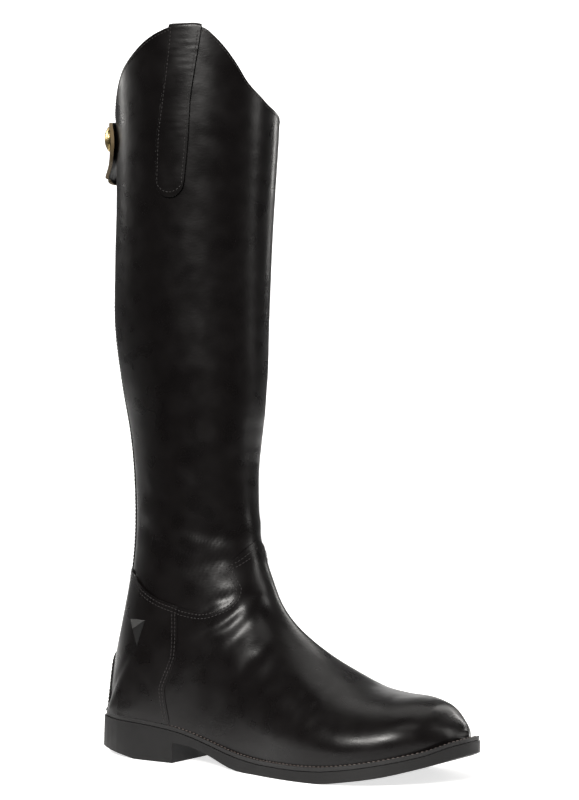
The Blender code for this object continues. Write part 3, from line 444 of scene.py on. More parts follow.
# Waxed polyester thread
thread = finish_of("waxed black thread", "#1f1c1c", "#2a2626", 0.55, 0.08, 0.15, 0.02)
# Thread of the welt: black thread coloured light grey-brown, a painted highlight standing in for
# its glints
welt_thread_painted_highlight = finish_of("welt thread lightened as painted highlight", "#574d49", "#6d625d", 0.5, 0.08, 0.15, 0.02)
# Satin brass snap
brass = finish_of("satin brass", "#bda46c", "#cfb880", 0.26, 0.06, 0.3, 0.004, metallic=1.0,
                  ior=1.45)
# Small moulded studs, a little less glossy than the calf
moulded = finish_of("moulded black rubber of the spur rests", "#050404", "#0a0909", 0.38, 0.05,
                    0.9, 0.02, ior=1.30)
print("finishes:", len(bpy.data.materials))


# %% [markdown]
# ## How a leather panel is made
# Leather is cut flat and pulled over the last. A boolean of one solid boot would give jagged
# edges, so each panel is a fine grid, draped over the form and trimmed along a line: the
# corners nearest the line are moved onto it and the rest is dropped. The wall is then given
# its thickness inwards and its rim is rounded.

# %% Drape a grid
def even_places(start, end, count):
    """Places along the fan with even steps on the leather."""
    fine = np.linspace(start, end, 600)
    length = sum(run_length(last_point(fine, around)) for around in (0.3, 0.6, 1.0, 1.4, 1.7))
    return np.interp(np.linspace(0, length[-1], count), length, fine)


def draped_grid(columns, rows):
    """A flat grid with its two shares as layers: u along its X and v along its Y."""
    mesh = bmesh.new()
    u_layer = mesh.verts.layers.float.new("u")
    v_layer = mesh.verts.layers.float.new("v")
    bmesh.ops.create_grid(mesh, x_segments=columns, y_segments=rows, size=0.5)
    for vert in mesh.verts:
        vert[u_layer] = vert.co.x + 0.5
        vert[v_layer] = vert.co.y + 0.5
    return mesh, u_layer, v_layer


def put(mesh, u_layer, v_layer, mapping, verts=None):
    """Move the grid's corners to where the mapping sends their shares."""
    verts = verts if verts is not None else list(mesh.verts)
    u = np.array([vert[u_layer] for vert in verts])
    v = np.array([vert[v_layer] for vert in verts])
    places = mapping(u, v)
    for vert, place in zip(verts, places):
        vert.co = place
    return places


# %% Trim a grid along a line
def trim(mesh, u_layer, v_layer, mapping, inside):
    """Cut the grid along the line where inside(points) is zero."""
    verts = list(mesh.verts)
    mesh.verts.index_update()
    places = put(mesh, u_layer, v_layer, mapping)
    value = inside(places)
    ends = np.array([(e.verts[0].index, e.verts[1].index) for e in mesh.edges])
    best = {}
    for a, b in ends[value[ends[:, 0]] * value[ends[:, 1]] < 0]:
        near, far = (a, b) if abs(value[a]) <= abs(value[b]) else (b, a)
        share = abs(value[near]) / (abs(value[near]) + abs(value[far]))
        if near not in best or share < best[near][0]:
            best[near] = (share, far)
    shares = [(vert[u_layer], vert[v_layer]) for vert in verts]
    for near, (share, far) in best.items():
        verts[near][u_layer] = shares[near][0] + share * (shares[far][0] - shares[near][0])
        verts[near][v_layer] = shares[near][1] + share * (shares[far][1] - shares[near][1])
        value[near] = 0.0
    put(mesh, u_layer, v_layer, mapping)
    sign = np.sign(value)
    for face in list(mesh.faces):
        corners = list(face.verts)
        signs = [sign[c.index] for c in corners]
        if max(signs) > 0 and min(signs) < 0:
            level = [c for c, s in zip(corners, signs) if s == 0]
            if len(level) == 2:
                bmesh.utils.face_split(face, level[0], level[1])
    drop = [face for face in mesh.faces if min(sign[c.index] for c in face.verts) < 0
            or max(sign[c.index] for c in face.verts) <= 0]
    bmesh.ops.delete(mesh, geom=drop, context="FACES")


# %% Objects, rounded corners and whole panels
SMOOTH_IN, SMOOTH_OUT = 0.5, -0.515


def object_of(name, mesh, finish):
    """Turn a bmesh into a smooth-shaded object."""
    data = bpy.data.meshes.new(name)
    mesh.to_mesh(data)
    mesh.free()
    data.shade_smooth()
    data.materials.append(finish)
    made = bpy.data.objects.new(name, data)
    bpy.context.collection.objects.link(made)
    return made


def round_corners(made, name, width, segments, angle):
    edge = made.modifiers.new(name, "BEVEL")
    edge.width = width
    edge.segments = segments
    edge.limit_method = "ANGLE"
    edge.angle_limit = math.radians(angle)
    edge.harden_normals = True


def leather(name, grid, mapping, thickness, finish, inside=None, rim=None, smooth=0,
            smooth_from=-1.0, round_rim=0.35 * MM):
    """One panel: grid, drape, trim, thickness inwards and a rounded rim."""
    mesh, u_layer, v_layer = draped_grid(*grid)
    if inside:
        trim(mesh, u_layer, v_layer, mapping, inside)
    else:
        put(mesh, u_layer, v_layer, mapping)
    bmesh.ops.remove_doubles(mesh, verts=mesh.verts, dist=2e-5)
    # Each round smooths and then swells by about as much, so that the form keeps its size
    for _ in range(smooth):
        inner = [vert for vert in mesh.verts if not vert.is_boundary and vert.co.x > smooth_from]
        for step in (SMOOTH_IN, SMOOTH_OUT):
            bmesh.ops.smooth_vert(mesh, verts=inner, factor=step, use_axis_x=True,
                                  use_axis_y=True, use_axis_z=True)
    bmesh.ops.recalc_face_normals(mesh, faces=mesh.faces)
    mesh.normal_update()
    # The steepest face shows whether the sheet looks away from the leg
    sample = max(mesh.faces, key=lambda face: abs(face.normal.y) + abs(face.normal.x))
    middle = Vector((SHAFT_CENTRE_X, 0.0, sample.calc_center_median().z))
    if sample.normal.dot(sample.calc_center_median() - middle) < 0:
        bmesh.ops.reverse_faces(mesh, faces=mesh.faces)
    made = object_of(name, mesh, finish)
    wall = made.modifiers.new("wall", "SOLIDIFY")
    wall.thickness = thickness
    wall.offset = -1.0
    if rim:
        made.data.materials.append(rim)
        wall.material_offset_rim = 1
    if round_rim:
        round_corners(made, "rim", round_rim, 2, 55.0)
    return made


# %% [markdown]
# ## Cutting lines
# A pattern cutter marks the hides with lines. Each line is kept here as a signed distance,
# positive on the leather, because the smallest of several distances is the panel that they
# bound together. Chains of cut edges would need a case for every crossing.

# %% Distances to lines
SLOT_FOOT, SLOT_TAPER_TOP = 62 * MM, 92 * MM
SLOT_HALF_LOW, SLOT_HALF_HIGH = 4.0 * MM, 6.5 * MM
ELASTIC_INNER, ELASTIC_OUTER = 15.6 * MM, 26.0 * MM
ELASTIC_FOOT, ELASTIC_TOP = 118 * MM, 402 * MM


def outline_distance(points, outline):
    """Distance to a closed outline in two coordinates, positive inside."""
    outline = np.asarray(outline)
    nearest = np.full(len(points), 1e9)
    crossings = np.zeros(len(points), int)
    for a, b in zip(outline, np.roll(outline, -1, axis=0)):
        along = b - a
        t = np.clip(((points - a) @ along) / (along @ along + 1e-18), 0, 1)
        nearest = np.minimum(nearest, np.linalg.norm(points - a - t[:, None] * along, axis=1))
        above = (a[1] > points[:, 1]) != (b[1] > points[:, 1])
        at_x = a[0] + (points[:, 1] - a[1]) * along[0] / (along[1] if along[1] else 1e-12)
        crossings += above & (points[:, 0] < at_x)
    return np.where(crossings % 2 == 1, nearest, -nearest)


def smooth_line(points, count):
    """A rounded line through points, evenly spaced."""
    points = np.array(points, float)
    length = run_length(points)
    wanted = np.linspace(0, length[-1], count)
    return np.stack([smooth_table(list(zip(length, points[:, i])), wanted) for i in (0, 1)], 1)


seam_line = smooth_line([(along_x(a), up * INSTEP_HEIGHT) for a, up in FOOT_SEAM], 90)
foot_region = np.concatenate([[(-0.10, seam_line[0][1])], seam_line,
                              [(0.30, seam_line[-1][1]), (0.30, -0.05), (-0.10, -0.05)]])


def in_foot(points):
    return outline_distance(points[:, [0, 2]], foot_region)


def on_rear(points, value, elsewhere=1.0):
    """The value at the boot's back and a fixed one everywhere else."""
    return np.where(points[:, 0] < REAR_DEPTH, value, elsewhere)


def clear_of_slot(points, half, foot):
    """Positive outside a strip along the zip, from a foot height upwards."""
    beside = np.abs(points[:, 1] - ZIP_CENTRE) - half
    return on_rear(points, np.maximum(beside, foot - points[:, 2]))


def slot_half(z):
    return np.interp(z, [SLOT_FOOT, SLOT_TAPER_TOP], [SLOT_HALF_LOW, SLOT_HALF_HIGH])


def clear_of_elastic(points):
    y, z = points[:, 1], points[:, 2]
    across = np.maximum(ELASTIC_INNER - y, y - ELASTIC_OUTER)
    along = np.maximum(ELASTIC_FOOT - z, z - ELASTIC_TOP)
    return on_rear(points, np.maximum(across, along))


def side_seam_x(z):
    return smooth_table(SIDE_SEAM, z)


def below_collar(points):
    return topline_height(points) - points[:, 2]


# %% [markdown]
# ## Shaft
# The shaft is one calf hide round the leg, open at the back for the zip and the elastic. A
# lofted tube would end in a straight edge, but this hide ends along a curved seam. It runs
# on 8 mm under the foot leather, and under the facings down to the patch.

# %% Shaft
TUCK = 8 * MM
UNDER_FACINGS_HALF, UNDER_FACINGS_FOOT = 18 * MM, 58 * MM


def shaft_inside(points):
    under_facings = on_rear(points, -clear_of_slot(points, UNDER_FACINGS_HALF,
                                                   UNDER_FACINGS_FOOT), -1.0)
    own = np.maximum(TUCK - in_foot(points), under_facings)
    slot = clear_of_slot(points, slot_half(points[:, 2]), SLOT_FOOT)
    return np.minimum.reduce([own, below_collar(points), slot, clear_of_elastic(points)])


def draping(places, offset, creased=1.0, span=(0.0, 2.0)):
    """A mapping from grid shares to a layer of the last."""
    shares = np.linspace(0, 1, len(places))

    def mapping(u, v):
        around = span[0] + (span[1] - span[0]) * v
        return surface(np.interp(u, shares, places), around, offset, creased)[0]
    return mapping


shaft_places = even_places(12.0, FAN_END, 400)
shaft = leather("shaft_leather", (150, 144), draping(shaft_places, 0.0), 1.2 * MM, calf,
                shaft_inside)
print("shaft faces:", len(shaft.data.polygons))

# %% [markdown]
# ## Vamp and counter
# The foot has two more hides: the vamp over instep and toe, and the counter round the heel,
# which laps over it. One skin with a drawn seam would look flat, so both are panels, and
# the counter stands a little further out to show a real step.

# %% Vamp and counter
LAP = 6 * MM
VAMP_OUT, COUNTER_OUT = 1.0 * MM, 1.4 * MM
TOE_FROM = 0.207
FACING_IN, FACING_OUT, FACING_FOOT = 6.8 * MM, 15.0 * MM, 64.5 * MM


def on_welt(points):
    return points[:, 2] - feather_height(points[:, 0]) + 0.2 * MM


def facing_corridor(points):
    """Positive outside the strip where the zip's facings lie on the shaft."""
    return clear_of_slot(points, FACING_OUT + 0.3 * MM, FACING_FOOT - 0.5 * MM)


def vamp_inside(points):
    ahead = points[:, 0] - side_seam_x(points[:, 2]) + LAP
    return np.minimum.reduce([in_foot(points), on_welt(points), ahead])


def counter_inside(points):
    behind = side_seam_x(points[:, 2]) - points[:, 0]
    return np.minimum.reduce([in_foot(points), on_welt(points), behind, facing_corridor(points)])


vamp = leather("vamp_leather", (132, 88), draping(even_places(-1.0, 15.5, 300), VAMP_OUT),
               1.0 * MM, calf, vamp_inside, smooth=70, smooth_from=TOE_FROM)
counter = leather("counter_leather", (96, 120), draping(even_places(8.6, 20.5, 300), COUNTER_OUT),
                  1.2 * MM, calf, counter_inside, smooth=60)
print("vamp and counter faces:", len(vamp.data.polygons), len(counter.data.polygons))

# %% [markdown]
# ## Lining
# A tan leather sock lines the whole boot and shows at the collar. Colouring the inside of
# the outer hides would be quicker, but the collar's cut edge shows two layers.

# %% Lining
LINING_OUT = -1.22 * MM


def lining_inside(points):
    slot = clear_of_slot(points, 8.0 * MM, 60 * MM)
    return np.minimum.reduce([below_collar(points), slot, on_welt(points)])


lining = leather("lining_leather", (150, 100),
                 draping(even_places(-1.0, FAN_END, 400), LINING_OUT),
                 1.15 * MM, lining_tan, lining_inside, round_rim=0.2 * MM)
print("lining faces:", len(lining.data.polygons))

# %% [markdown]
# ## Zip
# A coil zip runs from the heel patch to under the flap. It is drawn as it looks from behind.
# The coil could be a rippled strip, but its teeth catch the light one by one, so small
# rounded teeth are set on the woven tape.

# %% Zip tape
TAPE_HALF, TAPE_FOOT, TAPE_TOP = 9 * MM, 62.5 * MM, 414.5 * MM


def rear_layer(low, high, offset, creased=1.0, bend=None):
    """A mapping from grid shares to a strip seen from behind. Low and high are (y, z)."""
    def mapping(u, v):
        y = low[0] + (high[0] - low[0]) * u
        z = low[1] + (high[1] - low[1]) * v
        at, around = place_on("rear", y, z)
        raised = bend(y, z) if bend else 0.0
        base, normal = surface(at, around, offset, creased)
        return base + normal * np.broadcast_to(raised, y.shape)[..., None]
    return mapping


tape_strip = rear_layer((ZIP_CENTRE - TAPE_HALF, TAPE_FOOT), (ZIP_CENTRE + TAPE_HALF, TAPE_TOP),
                        -1.25 * MM)
tape = leather("zip_tape_cloth", (8, 150), tape_strip, 0.6 * MM, tape_cloth, round_rim=None)


# %% Coil teeth
TOOTH_PITCH, TOOTH_FOOT, TOOTH_TOP = 1.6 * MM, 66.8 * MM, 413.0 * MM
TOOTH_SIZE = (3.1 * MM, 1.15 * MM, 1.5 * MM)
TOOTH_ASIDE, TOOTH_OUT = 1.35 * MM, -0.5 * MM


def joined(name, shape, placements, finish):
    """One object of many copies of a small shape, each with its own matrix."""
    data = bpy.data.meshes.new("shape")
    shape.to_mesh(data)
    shape.free()
    mesh = bmesh.new()
    for matrix in placements:
        copy = data.copy()
        copy.transform(matrix)
        mesh.from_mesh(copy)
        bpy.data.meshes.remove(copy)
    bpy.data.meshes.remove(data)
    return object_of(name, mesh, finish)


def seat_matrix(point, ahead, normal, size=(1.0, 1.0, 1.0)):
    """A matrix with X along ahead and Z along the normal."""
    normal = Vector(normal).normalized()
    ahead = Vector(ahead)
    ahead = (ahead - normal * ahead.dot(normal)).normalized()
    side = normal.cross(ahead)
    turn = Matrix((ahead, side, normal)).transposed().to_4x4()
    return Matrix.Translation(point) @ turn @ Matrix.Diagonal((*size, 1.0))


tooth = bmesh.new()
bmesh.ops.create_cube(tooth, size=1.0)
bmesh.ops.bevel(tooth, geom=tooth.edges[:], offset=0.28, segments=1, profile=0.5,
                affect="EDGES", material=-1)
tooth_z = np.arange(TOOTH_FOOT, TOOTH_TOP, TOOTH_PITCH)
tooth_places = []
for side in (-1, 1):
    y = np.full(len(tooth_z), ZIP_CENTRE + side * TOOTH_ASIDE)
    at, around = place_on("rear", y, tooth_z + (TOOTH_PITCH / 2 if side > 0 else 0.0))
    points, normals = surface(at, around, TOOTH_OUT)
    for point, normal in zip(points, normals):
        tooth_places.append(seat_matrix(point, (0, 1, 0), normal, TOOTH_SIZE))
coil = joined("zip_coil_teeth", tooth, tooth_places, nylon)
print("teeth:", len(tooth_places))


# %% [markdown]
# ## Facings
# Two leather strips cover the tape. Each is turned over beside the teeth, which makes an
# uneven roll, and is sewn down flat outside it. The roll could be a separate cord, but on
# the real strip it is one skin, so the grid itself is bent up.

# %% Facings
def rolled_edge(side):
    """A roll beside the zip and a groove where the strip is sewn down."""
    def bend(y, z):
        out = np.abs(y - ZIP_CENTRE) - FACING_IN
        roll = np.exp(-((out - 1.4 * MM) / (1.2 * MM)) ** 2)
        wobble = 1.0 + 0.25 * np.sin(z / (5.5 * MM)) + 0.15 * np.sin(z / (2.3 * MM) + side)
        groove = np.exp(-((out - 3.2 * MM) / (0.5 * MM)) ** 2)
        return 0.9 * MM * roll * wobble - 0.35 * MM * groove
    return bend


def under_collar(points):
    return below_collar(points) - 0.6 * MM


facings = []
for side, name in ((-1, "zip_facing_lateral_strip"), (1, "zip_facing_medial_strip")):
    low = (ZIP_CENTRE + side * FACING_IN, FACING_FOOT)
    high = (ZIP_CENTRE + side * FACING_OUT, 416 * MM)
    strip = rear_layer(low, high, 1.0 * MM, bend=rolled_edge(side))
    facings.append(leather(name, (16, 240), strip, 0.8 * MM, facing_calf, under_collar,
                           round_rim=0.25 * MM))
print("facing faces:", len(facings[0].data.polygons))


# %% [markdown]
# ## Elastic
# A ribbed elastic panel on the inner side lets the shaft stretch over the calf. Ribs in a
# texture vanish at a grazing angle, so the ribs are bent into the grid and fade at the seam.

# %% Elastic panel
RIB_PITCH, RIB_HEIGHT, RIB_FADE = 2.6 * MM, 0.35 * MM, 1.2 * MM


def ribs(y, z):
    edge = np.minimum(y - ELASTIC_INNER, ELASTIC_OUTER - y) - 0.3 * MM
    fade = np.clip(edge / RIB_FADE, 0.0, 1.0)
    return fade * RIB_HEIGHT * 0.5 * (1.0 + np.cos(2 * np.pi * z / RIB_PITCH))


webbing = rear_layer((15.0 * MM, 117.5 * MM), (26.6 * MM, 402.5 * MM), -0.75 * MM, bend=ribs)
elastic = leather("elastic_panel", (10, 420), webbing, 0.9 * MM, elastic_cloth, round_rim=None)

# %% [markdown]
# ## Heel patch
# A rounded leather patch covers the foot of the zip and is sewn to the counter. It is a
# panel over the same form, 2.7 mm out, rather than a box laid on: it then hugs the heel.

# %% Heel patch
PATCH_HALF, PATCH_TOP, PATCH_CORNER = 19.5 * MM, 66 * MM, 8 * MM
PATCH_OUT, PATCH_FOOT = 2.7 * MM, 23.5 * MM


def corner(centre, radius, start, end, steps=8):
    turns = [math.radians(start + (end - start) * i / steps) for i in range(steps + 1)]
    return [(centre[0] + radius * math.cos(t), centre[1] + radius * math.sin(t)) for t in turns]


def patch_line(inset, foot):
    """Up one side of the patch, round its two corners and down the other side."""
    left, right = ZIP_CENTRE - PATCH_HALF, ZIP_CENTRE + PATCH_HALF
    up, radius = PATCH_TOP - PATCH_CORNER, PATCH_CORNER - inset
    return [(left + inset, foot), *corner((left + PATCH_CORNER, up), radius, 180, 90),
            *corner((right - PATCH_CORNER, up), radius, 90, 0), (right - inset, foot)]


patch_outline = patch_line(0.0, 0.0)


def patch_inside(points):
    above_welt = on_welt(points) - 0.3 * MM
    return np.minimum(outline_distance(points[:, [1, 2]], patch_outline), above_welt)


patch_sheet = rear_layer((ZIP_CENTRE - 21 * MM, PATCH_FOOT), (ZIP_CENTRE + 21 * MM, 68 * MM),
                         PATCH_OUT)
patch = leather("heel_patch_leather", (40, 44), patch_sheet, 1.2 * MM, calf, patch_inside)
print("patch faces:", len(patch.data.polygons))


# %% [markdown]
# ## Sole, welt, insole and spur rests
# The sole is moulded, the welt and insole are cut from thick sheet, and the faceted studs
# that keep a spur from slipping are moulded too. Their solids already have the full shape
# and lack only soft corners, so a copy of each is merged and its corners are rounded.

# %% Softened copies of the CAD solids
def softened(node, name, finish, width, angle=40.0, segments=2):
    """A copy of a CAD solid with its corners rounded."""
    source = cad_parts[node]
    mesh = bmesh.new()
    mesh.from_mesh(source.data)
    bmesh.ops.transform(mesh, matrix=source.matrix_world, verts=mesh.verts)
    bmesh.ops.remove_doubles(mesh, verts=mesh.verts, dist=1e-6)
    bmesh.ops.dissolve_limit(mesh, angle_limit=math.radians(1.0), verts=mesh.verts[:],
                             edges=mesh.edges[:])
    bmesh.ops.recalc_face_normals(mesh, faces=mesh.faces)
    made = object_of(name, mesh, finish)
    made.data.set_sharp_from_angle(angle=math.radians(angle))
    round_corners(made, "edge", width, segments, angle)
    return made


studs = [softened("spur_rest_lateral", "spur_rest_lateral_stud", moulded, 0.35 * MM, 12.0),
         softened("spur_rest_medial", "spur_rest_medial_stud", moulded, 0.35 * MM, 12.0)]
sole = softened("outsole", "outsole_rubber", rubber, 1.0 * MM, 45.0, 3)
welt = softened("welt", "welt_strip", welt_leather, 0.6 * MM, 45.0)
insole = softened("insole", "insole_board", insole_tan, 0.4 * MM, 60.0)

# %% [markdown]
# ## Closure flap
# The flap closes over the zip's top. It is two leathers thick, so its cut edge shows tan,
# and its tongue stands off so that a finger can get under it. A flat cut-out would lie dead
# on the shaft, so the sheet is lifted smoothly towards the tongue's tip.

# %% Closure flap
FLAP_OUTLINE = [
    (38.0, 408.5), (28.0, 411.5), (16.0, 413.8), (3.0, 414.4), (-15.0, 414.0), (-24.0, 413.0),
    (-30.0, 410.0), (-33.5, 404.5), (-34.0, 399.0), (-32.0, 393.5), (-27.5, 389.0), (-21.0, 385.5),
    (-14.0, 381.5), (-8.0, 377.8), (-2.5, 375.4), (3.0, 374.6), (8.5, 376.4), (14.0, 380.0),
    (22.0, 383.2), (29.0, 384.6), (38.0, 384.9), (38.0, 408.5),
]
flap_outline = smooth_line(FLAP_OUTLINE, 130)[:-1] * MM
TONGUE_LIFT, TONGUE_TOP, TONGUE_RUN = 9.5 * MM, 394 * MM, 17 * MM
TONGUE_SPREAD, TONGUE_CENTRE = 16 * MM, -1.5 * MM


def tongue(y, z):
    fall = np.clip((TONGUE_TOP - z) / TONGUE_RUN, 0.0, 1.0)
    return TONGUE_LIFT * fall * fall * (3 - 2 * fall) * np.exp(
        -((y - TONGUE_CENTRE) / TONGUE_SPREAD) ** 2)


def flap_inside(points):
    return outline_distance(points[:, [1, 2]], flap_outline)


flap_sheet = rear_layer((-36.2 * MM, 372.2 * MM), (39.2 * MM, 416.8 * MM), 4.4 * MM, 0.0,
                        bend=tongue)
flap = leather("closure_flap_leather", (90, 56), flap_sheet, 2.4 * MM, calf, flap_inside,
               rim=raw_edge, round_rim=0.3 * MM)
print("flap faces:", len(flap.data.polygons))

# %% [markdown]
# ## Snap
# The cap is a pressed brass dome with a rolled brim, which is a turned form. So its profile,
# in millimetres of radius and height, is spun once round its axis.

# %% Snap
snap_at, snap_around = place_on("rear", np.array([-25.0 * MM]), np.array([402.0 * MM]))
snap_point, snap_normal = surface(snap_at, snap_around, 4.6 * MM, 0.0)
snap_mesh = bmesh.new()
SNAP_PROFILE = [(0.0, -1.0), (7.4, -1.0), (8.0, -0.4), (8.0, 0.5), (7.5, 0.9), (6.9, 1.0),
                (6.4, 1.35), (5.2, 2.0), (3.6, 2.5), (1.8, 2.8), (0.0, 2.9)]
chain = [snap_mesh.verts.new((radius * MM, 0.0, up * MM)) for radius, up in SNAP_PROFILE]
for first, second in zip(chain, chain[1:]):
    snap_mesh.edges.new((first, second))
bmesh.ops.spin(snap_mesh, geom=snap_mesh.verts[:] + snap_mesh.edges[:], cent=(0, 0, 0),
               axis=(0, 0, 1), angle=2 * math.pi, steps=40, use_merge=True)
bmesh.ops.remove_doubles(snap_mesh, verts=snap_mesh.verts, dist=1e-6)
bmesh.ops.recalc_face_normals(snap_mesh, faces=snap_mesh.faces)
bmesh.ops.transform(snap_mesh, verts=snap_mesh.verts,
                    matrix=seat_matrix(snap_point[0], (0, 0, 1), snap_normal[0]))
snap = object_of("snap_cap_brass", snap_mesh, brass)

# %% [markdown]
# ## Pull strap
# A leather strap is sewn over the collar's high side, to pull the boot on by. It goes up
# the outside, folds over the edge and is tucked in. A straight extrusion can't follow the
# calf, so each place on the strap is looked up on the last and moved out or in.

# %% Pull strap
# Up (back height) and the rear and front edges (last length), from the rounded end up
STRAP_EDGES = [
    (0.896, 0.246, 0.322), (0.955, 0.252, 0.333), (1.018, 0.267, 0.340), (1.060, 0.277, 0.350),
    (1.126, 0.288, 0.365), (1.180, 0.290, 0.372),
]
STRAP_END_DROP = 0.028 * BACK_HEIGHT
STRAP_OUT, STRAP_IN = 1.5 * MM, -3.9 * MM
STRAP_TUCK = 24 * MM
STRAP_RISE_END, STRAP_FOLD_END = 0.70, 0.80
WRINKLE_DEPTH, WRINKLE_A, WRINKLE_B, WRINKLE_SWELL = 0.012 * MM, 0.65 * MM, 0.93 * MM, 7 * MM
strap_rear = [(up * BACK_HEIGHT, along_x(rear)) for up, rear, _ in STRAP_EDGES]
strap_front = [(up * BACK_HEIGHT, along_x(front)) for up, _, front in STRAP_EDGES]


def strap_places(across, travel):
    """Across is -1 to 1 from the rear edge, travel 0 to 1 from the outer end to the tucked end."""
    low = STRAP_EDGES[0][0] * BACK_HEIGHT - STRAP_END_DROP * np.sqrt(1 - np.clip(across, -1, 1)**2)
    peak = 1.1275 * BACK_HEIGHT

    def at_height(z):
        rear, front = smooth_table(strap_rear, z), smooth_table(strap_front, z)
        x = rear + (front - rear) * (across + 1) / 2
        at, around = place_on("outer", x, z)
        return at, around, last_point(at, around)
    _, _, crown = at_height(np.full(across.shape, peak - 2 * MM))
    top = topline_height(crown)
    up_share = np.clip(travel / STRAP_RISE_END, 0, 1)
    turn = np.clip((travel - STRAP_RISE_END) / (STRAP_FOLD_END - STRAP_RISE_END), 0, 1) * np.pi
    down = np.clip((travel - STRAP_FOLD_END) / (1 - STRAP_FOLD_END), 0, 1) * STRAP_TUCK
    z = np.where(travel < STRAP_RISE_END, low + (top - low) * up_share, top - down)
    at, around, base = at_height(z)
    middle, half = (STRAP_OUT + STRAP_IN) / 2, (STRAP_OUT - STRAP_IN) / 2
    offset = middle + half * np.cos(turn)
    normal = last_normal(at, around)
    ridges = np.sin(z / WRINKLE_A + 1.5 * across) + np.sin(z / WRINKLE_B - 2.3 * across)
    wrinkle = WRINKLE_DEPTH * ridges * (1.0 + np.sin(z / WRINKLE_SWELL)) * (turn == 0)
    points = base + normal * (offset + wrinkle)[..., None]
    points[..., 2] += (STRAP_OUT + 0.4 * MM) * np.sin(turn)
    return points, normal


def strap_mapping(u, v):
    return strap_places(2 * u - 1, v)[0]


strap = leather("pull_strap_leather", (18, 150), strap_mapping, 1.2 * MM, calf,
                round_rim=0.35 * MM)
print("strap faces:", len(strap.data.polygons))

# %% [markdown]
# ## Stitches
# Lockstitches sit about 2.5 mm apart. A dotted texture has no height, and real holes would
# need millions of faces, so each stitch is a small thread bead that is half sunk in leather.

# %% Helpers for rows of stitches
PITCH, STITCH_SIZE = 2.5 * MM, (1.0 * MM, 0.32 * MM, 0.30 * MM)
WELT_PITCH, WELT_STITCH_SIZE = 3.0 * MM, (1.15 * MM, 0.42 * MM, 0.5 * MM)


def row_of(points, normals, pitch=PITCH, size=STITCH_SIZE):
    """Seats for stitches at even steps along a line of points."""
    length = run_length(points)

    def read(values, places):
        return np.stack([np.interp(places, length, values[:, i]) for i in range(3)], 1)
    stops = np.arange(pitch / 2, length[-1], pitch)
    at, up = read(points, stops), read(normals, stops)
    ahead = read(points, stops + 0.3 * MM) - at
    return [seat_matrix(point, step, normal, size) for point, step, normal in zip(at, ahead, up)
            if Vector(step).length > 1e-7]


def side_row(line, offset):
    """Stitches on both sides of the boot along a line drawn in the side view."""
    return [seat for view in ("outer", "inner")
            for seat in row_of(*surface(*place_on(view, line[:, 0], line[:, 1]), offset))]


def rear_row(y, z, offset):
    """Stitches along a line drawn from behind."""
    return row_of(*surface(*place_on("rear", y, z), offset))


def shifted(line, distance):
    """A line moved sideways to its right."""
    step = np.gradient(line, axis=0)
    return line + unit(np.stack([step[:, 1], -step[:, 0]], axis=1)) * distance


def thread_beads(name, places, finish):
    """One long thread bead at each place."""
    bead = bmesh.new()
    bmesh.ops.create_uvsphere(bead, u_segments=6, v_segments=4, radius=1.0)
    bmesh.ops.rotate(bead, verts=bead.verts, matrix=Matrix.Rotation(math.pi / 2, 3, "Y"))
    return joined(name, bead, places, finish)


# %% Seams of the foot
SEAM_REAR, SEAM_FRONT = -24 * MM, 79 * MM
stitch_places = []
for inset in (1.8 * MM, 4.2 * MM):
    line = shifted(seam_line, inset)
    seen = (line[:, 0] > SEAM_REAR) & (line[:, 0] < SEAM_FRONT)
    stitch_places += side_row(line[seen], 1.3 * MM)
seam_z = np.linspace(26 * MM, 95 * MM, 60)
for inset in (1.8 * MM, 4.0 * MM):
    stitch_places += side_row(np.stack([side_seam_x(seam_z) - inset, seam_z], 1), 1.45 * MM)
print("stitches of the foot:", len(stitch_places))

# %% Row along the collar
COLLAR_INSET = 2.2 * MM
turns = np.radians(np.linspace(-158, 158, 700))
top_xy = np.stack([SHAFT_CENTRE_X + 0.05 * np.cos(turns), -0.05 * np.sin(turns),
                   np.zeros(len(turns))], 1)


def collar_row(turns, heights):
    """Places at given turns and heights, found by small corrections."""
    at = np.full(len(turns), 28.0)
    around = np.clip(1 - turns / np.pi, 0.02, 1.98)
    for _ in range(25):
        here = last_point(at, around)
        turn_here = np.arctan2(-here[:, 1], here[:, 0] - SHAFT_CENTRE_X)
        around = np.clip(around - (turns - turn_here) * 0.28, 0.01, 1.99)
        rise = (last_point(at + 0.01, around)[:, 2] - last_point(at, around)[:, 2]) / 0.01
        at = np.clip(at + (heights - here[:, 2]) / rise * 0.8, 20.0, FAN_END - 0.01)
    return at, around


stitch_places += row_of(*surface(*collar_row(turns, topline_height(top_xy) - COLLAR_INSET),
                                 0.06 * MM))

# %% Rows beside the zip, round the strap and on the patch
REAR_TOP = 413.5 * MM
FACING_ROWS, ELASTIC_ROW = (12.0 * MM, 14.2 * MM), 27.6 * MM
for out in FACING_ROWS:
    for side in (-1, 1):
        z = np.linspace(67 * MM, REAR_TOP, 300)
        stitch_places += rear_row(np.full(300, ZIP_CENTRE + side * out), z, 1.08 * MM)
z = np.linspace(114 * MM, REAR_TOP, 300)
stitch_places += rear_row(np.full(300, ELASTIC_ROW), z, 0.08 * MM)

STRAP_ROW, STRAP_ROW_OUT = 0.84, 0.05 * MM
travel = np.linspace(0.0, 1.0, 300)
outside = (travel > 0.02) & (travel < 0.69)
for across in (-STRAP_ROW, STRAP_ROW):
    points, normals = strap_places(np.full(300, across), travel)
    stitch_places += row_of((points + normals * STRAP_ROW_OUT)[outside], normals[outside])
points, normals = strap_places(np.linspace(-STRAP_ROW, STRAP_ROW, 60), np.full(60, 0.022))
stitch_places += row_of(points + normals * STRAP_ROW_OUT, normals)

patch_row = np.array(patch_line(2.2 * MM, 29 * MM))
stitch_places += rear_row(patch_row[:, 0], patch_row[:, 1], 2.75 * MM)
stitches = thread_beads("upper_stitches", stitch_places, thread)
print("stitches:", len(stitch_places))


